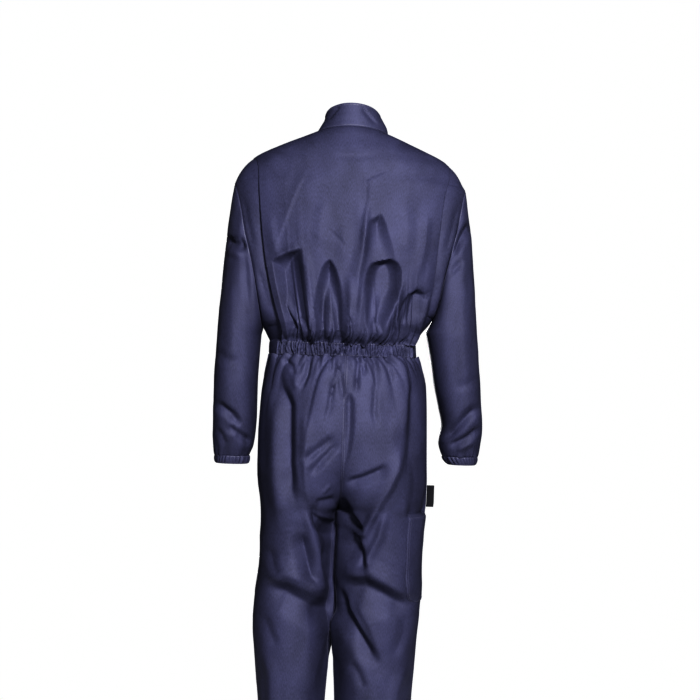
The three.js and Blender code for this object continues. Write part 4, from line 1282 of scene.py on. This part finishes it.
tape_cloth = twill("zip_tape_cloth", (0.03, 0.03, 0.07), 0.5)
nylon = bpy.data.materials.new("zip_nylon")
nylon.use_nodes = True
nylon_nodes = nylon.node_tree.nodes
nylon_shader = nylon_nodes["Principled BSDF"]
nylon_shader.inputs["Roughness"].default_value = 0.42
nylon_place = nylon_nodes.new("ShaderNodeTexCoord")
nylon_grain = nylon_nodes.new("ShaderNodeTexNoise")
nylon_grain.inputs["Scale"].default_value = 900
nylon_ramp = nylon_nodes.new("ShaderNodeValToRGB")
nylon_ramp.color_ramp.elements[0].color = (0.035, 0.035, 0.075, 1)
nylon_ramp.color_ramp.elements[1].color = (0.055, 0.055, 0.105, 1)
nylon_links = nylon.node_tree.links
nylon_links.new(nylon_place.outputs["Object"], nylon_grain.inputs["Vector"])
nylon_links.new(nylon_grain.outputs["Fac"], nylon_ramp.inputs["Fac"])
nylon_links.new(nylon_ramp.outputs["Color"], nylon_shader.inputs["Base Color"])

zip_bottom = -676
tape_widths = (0.1, 2.5, 5, 7.5, 10)
tape_depth = 2.2
tooth_size = (3.2, 1.6, 1.5)
tooth_pitch = 2.1
tooth_shift = 0.9
chain_depth = -0.2

# The zip runs down the collar, then the fronts, then the trouser fronts
zip_runs = [
    # carrier, top, bottom, steps
    ("collar", collar_top, neck_seam, 15),
    ("torso", neck_seam, waist_bottom, 139),
    ("leg", waist_bottom, zip_bottom, 55),
]
zip_places = [(carrier, z) for carrier, top, bottom, steps in zip_runs
              for z in np.linspace(top, bottom, steps + 1)[:-1]]
zip_places.append(("leg", zip_bottom))


def zip_line(side, width, depth):
    line = []
    for carrier, z in zip_places:
        if carrier == "collar":
            size = collar_sizes(z)
            turn = turn_at_width(width, size[side], size["square"])
            line.append(ring(on_side(side, -turn), z=z, **size))
        elif carrier == "torso":
            turn = torso_turn(side, width, z)
            line.append(torso(on_side(side, -turn), np.array(z)))
        else:
            turn = leg_turn(side, width, z)
            line.append(leg(side, -turn, np.array(z)))
    line = np.array(line)
    along_zip = np.gradient(line, axis=0)
    normal = np.cross(along_zip, (1.0, 0, 0))
    normal /= np.linalg.norm(normal, axis=-1, keepdims=True)
    normal *= np.where(normal[:, [1]] > 0, -1, 1)
    return line - normal * depth, normal


for side in ("left", "right"):
    tape = np.stack([zip_line(side, width, tape_depth)[0] for width in tape_widths], axis=1)
    middle = tape * (1, 0, 1)
    piece = cloth_grid(f"zip_tape_{side}", tape, middle)
    thicken(piece, 0.6)
    dress(piece, f"zip_tape_{side}", tape_cloth)

bpy.ops.object.select_all(action="DESELECT")
bpy.ops.mesh.primitive_cube_add(size=1)
tooth = bpy.context.object
tooth.name = "zip_teeth"
tooth.scale = [size * metre for size in tooth_size]
bpy.ops.object.transform_apply(location=False, rotation=False, scale=True)
bpy.ops.object.mode_set(mode="EDIT")
bpy.ops.mesh.select_all(action="SELECT")
bpy.ops.mesh.bevel(offset=0.0003, segments=1)
bpy.ops.object.mode_set(mode="OBJECT")
one_tooth = np.array([v.co[:] for v in tooth.data.vertices])
tooth_faces = [list(face.vertices) for face in tooth.data.polygons]
chain_line, chain_normal = zip_line("left", tape_widths[0], chain_depth)
chain_line[:, 0] = 0
length = np.concatenate(([0], np.cumsum(np.linalg.norm(np.diff(chain_line, axis=0), axis=1))))
steps = np.arange(1.2, length[-1] - 1, tooth_pitch)
places = np.stack([np.interp(steps, length, chain_line[:, k]) for k in range(3)], axis=1)
facing = np.stack([np.interp(steps, length, chain_normal[:, k]) for k in range(3)], axis=1)
facing /= np.linalg.norm(facing, axis=1, keepdims=True)


# Many copies of one small shape in one mesh, each turned to its own place
def scatter(piece, shape, faces, places, across, up, outward):
    points = (places[:, None] * metre + shape[None, :, [0]] * across[:, None]
              + shape[None, :, [2]] * up[:, None] + shape[None, :, [1]] * outward[:, None])
    count = len(shape)
    every_face = [[k * count + v for v in face] for k in range(len(places)) for face in faces]
    mesh = bpy.data.meshes.new(piece.name)
    mesh.from_pydata(points.reshape(-1, 3).tolist(), [], every_face)
    mesh.update()
    piece.data = mesh
    bpy.ops.object.select_all(action="DESELECT")
    piece.select_set(True)
    bpy.context.view_layer.objects.active = piece
    bpy.ops.object.mode_set(mode="EDIT")
    bpy.ops.mesh.select_all(action="SELECT")
    bpy.ops.mesh.normals_make_consistent(inside=False)
    bpy.ops.object.mode_set(mode="OBJECT")


across = np.tile((1.0, 0, 0), (len(places), 1))
beside = np.where(np.arange(len(places)) % 2 == 0, tooth_shift, -tooth_shift)
shifted = places + across * beside[:, None]
scatter(tooth, one_tooth, tooth_faces, shifted, across, np.cross(across, facing), facing)
tooth.data.materials.append(nylon)
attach(tooth, "suit")
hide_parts("zip_chain")

nickel = bpy.data.materials.new("nickel")
nickel.use_nodes = True
metal_nodes = nickel.node_tree.nodes
metal = metal_nodes["Principled BSDF"]
metal.inputs["Metallic"].default_value = 1.0
metal.inputs["Base Color"].default_value = (0.62, 0.61, 0.60, 1)
metal_place = metal_nodes.new("ShaderNodeTexCoord")
metal_wear = metal_nodes.new("ShaderNodeTexNoise")
metal_wear.inputs["Scale"].default_value = 600
metal_rough = metal_nodes.new("ShaderNodeMapRange")
metal_rough.inputs["To Min"].default_value = 0.22
metal_rough.inputs["To Max"].default_value = 0.42
nickel.node_tree.links.new(metal_place.outputs["Object"], metal_wear.inputs["Vector"])
nickel.node_tree.links.new(metal_wear.outputs["Fac"], metal_rough.inputs["Value"])
nickel.node_tree.links.new(metal_rough.outputs["Result"], metal.inputs["Roughness"])
for node in ("zip_slider", "zip_pull"):
    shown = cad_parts[node]
    shown.data.materials.clear()
    shown.data.materials.append(nickel)


# Stitching
# Lockstitch in navy polyester thread, about three millimetres a stitch: along the edges of
# the collar, casings, pocket and zip, round the armholes, down the seams and round the hems.

stitch_pitch = 3.2
stitch_size = (0.7, 0.6, 2.5)
stitch_rise = 0.15
stitch_rows = [
    # piece, edge, axis, inset, from, to
    ("collar", "first", 0, 3.5, 0.01, 0.99),
    ("collar", "last", 0, 2.5, 0.01, 0.99),
    ("sleeve_left", "first", 0, 4.5, 0, 1),
    ("sleeve_right", "first", 0, 4.5, 0, 1),
    ("cuff_left", "first", 0, 2.0, 0, 1),
    ("cuff_right", "first", 0, 2.0, 0, 1),
    ("cuff_left", "last", 0, 2.5, 0, 1),
    ("cuff_right", "last", 0, 2.5, 0, 1),
    ("elastic_band", "first", 0, 2.0, 0, 1),
    ("elastic_band", "last", 0, 3.0, 0, 1),
    ("front_left", "last", 1, 5.0, 0.01, 1),
    ("front_right", "last", 1, 5.0, 0.01, 1),
    ("trouser_back_right", "last", 1, 2.5, 0, 0.345),
    ("trouser_back_right", "last", 1, 7.0, 0, 0.345),
    ("trouser_back_left", "first", 1, 3.0, 0.02, 0.99),
    ("trouser_back_right", "first", 1, 3.0, 0.02, 0.40),
    ("trouser_back_left", "last", 1, 16.0, 0.37, 0.99),
    ("trouser_back_right", "last", 1, 16.0, 0.37, 0.99),
    ("trouser_front_left", "last", 1, 5.0, 0, 0.21),
    ("trouser_front_right", "last", 1, 5.0, 0, 0.21),
    ("trouser_back_left", "last", 0, 20.0, 0.02, 0.98),
    ("trouser_back_right", "last", 0, 20.0, 0.02, 0.98),
    ("trouser_front_left", "last", 0, 20.0, 0.02, 0.98),
    ("trouser_front_right", "last", 0, 20.0, 0.02, 0.98),
    ("rule_pocket", "first", 0, 12.0, 0.03, 0.97),
    ("rule_pocket", "last", 1, 2.5, 0.01, 0.99),
    ("rule_pocket", "last", 1, 7.5, 0.01, 0.97),
    ("rule_pocket", "last", 0, 2.5, 0.03, 0.97),
    ("rule_pocket", "last", 0, 7.5, 0.03, 0.95),
]


def stitch_line(grid, middle, edge, axis, inset, begin, end):
    reach = reach_from(grid, edge, axis)
    reach = reach if axis == 1 else reach.T
    steps = np.arange(reach.shape[1])
    if edge == "last":
        reach, steps = reach[:, ::-1], steps[::-1]
    lines = np.arange(int(begin * len(reach)), int(end * len(reach)))
    inward = np.array([np.interp(inset, reach[k], steps) for k in lines])
    row, column = (lines + 0.0, inward) if axis == 1 else (inward, lines + 0.0)
    line = on_panel(grid, row, column)
    outward = on_panel(grid_normals(grid, middle), row, column)
    run = np.concatenate(([0], np.cumsum(np.linalg.norm(np.diff(line, axis=0), axis=1))))
    stops = np.arange(stitch_pitch / 2, run[-1], stitch_pitch)
    places = np.stack([np.interp(stops, run, line[:, k]) for k in range(3)], axis=1)
    ways = np.gradient(places, axis=0)
    ways /= np.linalg.norm(ways, axis=1, keepdims=True)
    facing = np.stack([np.interp(stops, run, outward[:, k]) for k in range(3)], axis=1)
    facing -= ways * np.sum(facing * ways, axis=1, keepdims=True)
    facing /= np.linalg.norm(facing, axis=1, keepdims=True)
    return places + stitch_rise * facing, ways, facing


bpy.ops.object.select_all(action="DESELECT")
bpy.ops.mesh.primitive_cube_add(size=1)
stitches = bpy.context.object
stitches.name = "stitches"
stitches.scale = [size * metre for size in stitch_size]
bpy.ops.object.transform_apply(location=False, rotation=False, scale=True)
one_stitch = np.array([v.co[:] for v in stitches.data.vertices])
stitch_faces = [list(face.vertices) for face in stitches.data.polygons]
sewing = [stitch_line(*sewn[name], *row) for name, *row in stitch_rows]
places, ways, facing = [np.concatenate(parts) for parts in zip(*sewing)]
scatter(stitches, one_stitch, stitch_faces, places, np.cross(ways, facing), ways, facing)

thread = bpy.data.materials.new("thread")
thread.use_nodes = True
thread_nodes = thread.node_tree.nodes
thread_shader = thread_nodes["Principled BSDF"]
thread_shader.inputs["Roughness"].default_value = 0.5
thread_place = thread_nodes.new("ShaderNodeTexCoord")
thread_twist = thread_nodes.new("ShaderNodeTexNoise")
thread_twist.inputs["Scale"].default_value = 500
thread_ramp = thread_nodes.new("ShaderNodeValToRGB")
thread_ramp.color_ramp.elements[0].color = (0.045, 0.045, 0.075, 1)
thread_ramp.color_ramp.elements[1].color = (0.12, 0.12, 0.18, 1)
thread.node_tree.links.new(thread_place.outputs["Object"], thread_twist.inputs["Vector"])
thread.node_tree.links.new(thread_twist.outputs["Fac"], thread_ramp.inputs["Fac"])
thread.node_tree.links.new(thread_ramp.outputs["Color"], thread_shader.inputs["Base Color"])
stitches.data.materials.clear()
stitches.data.materials.append(thread)
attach(stitches, "suit")
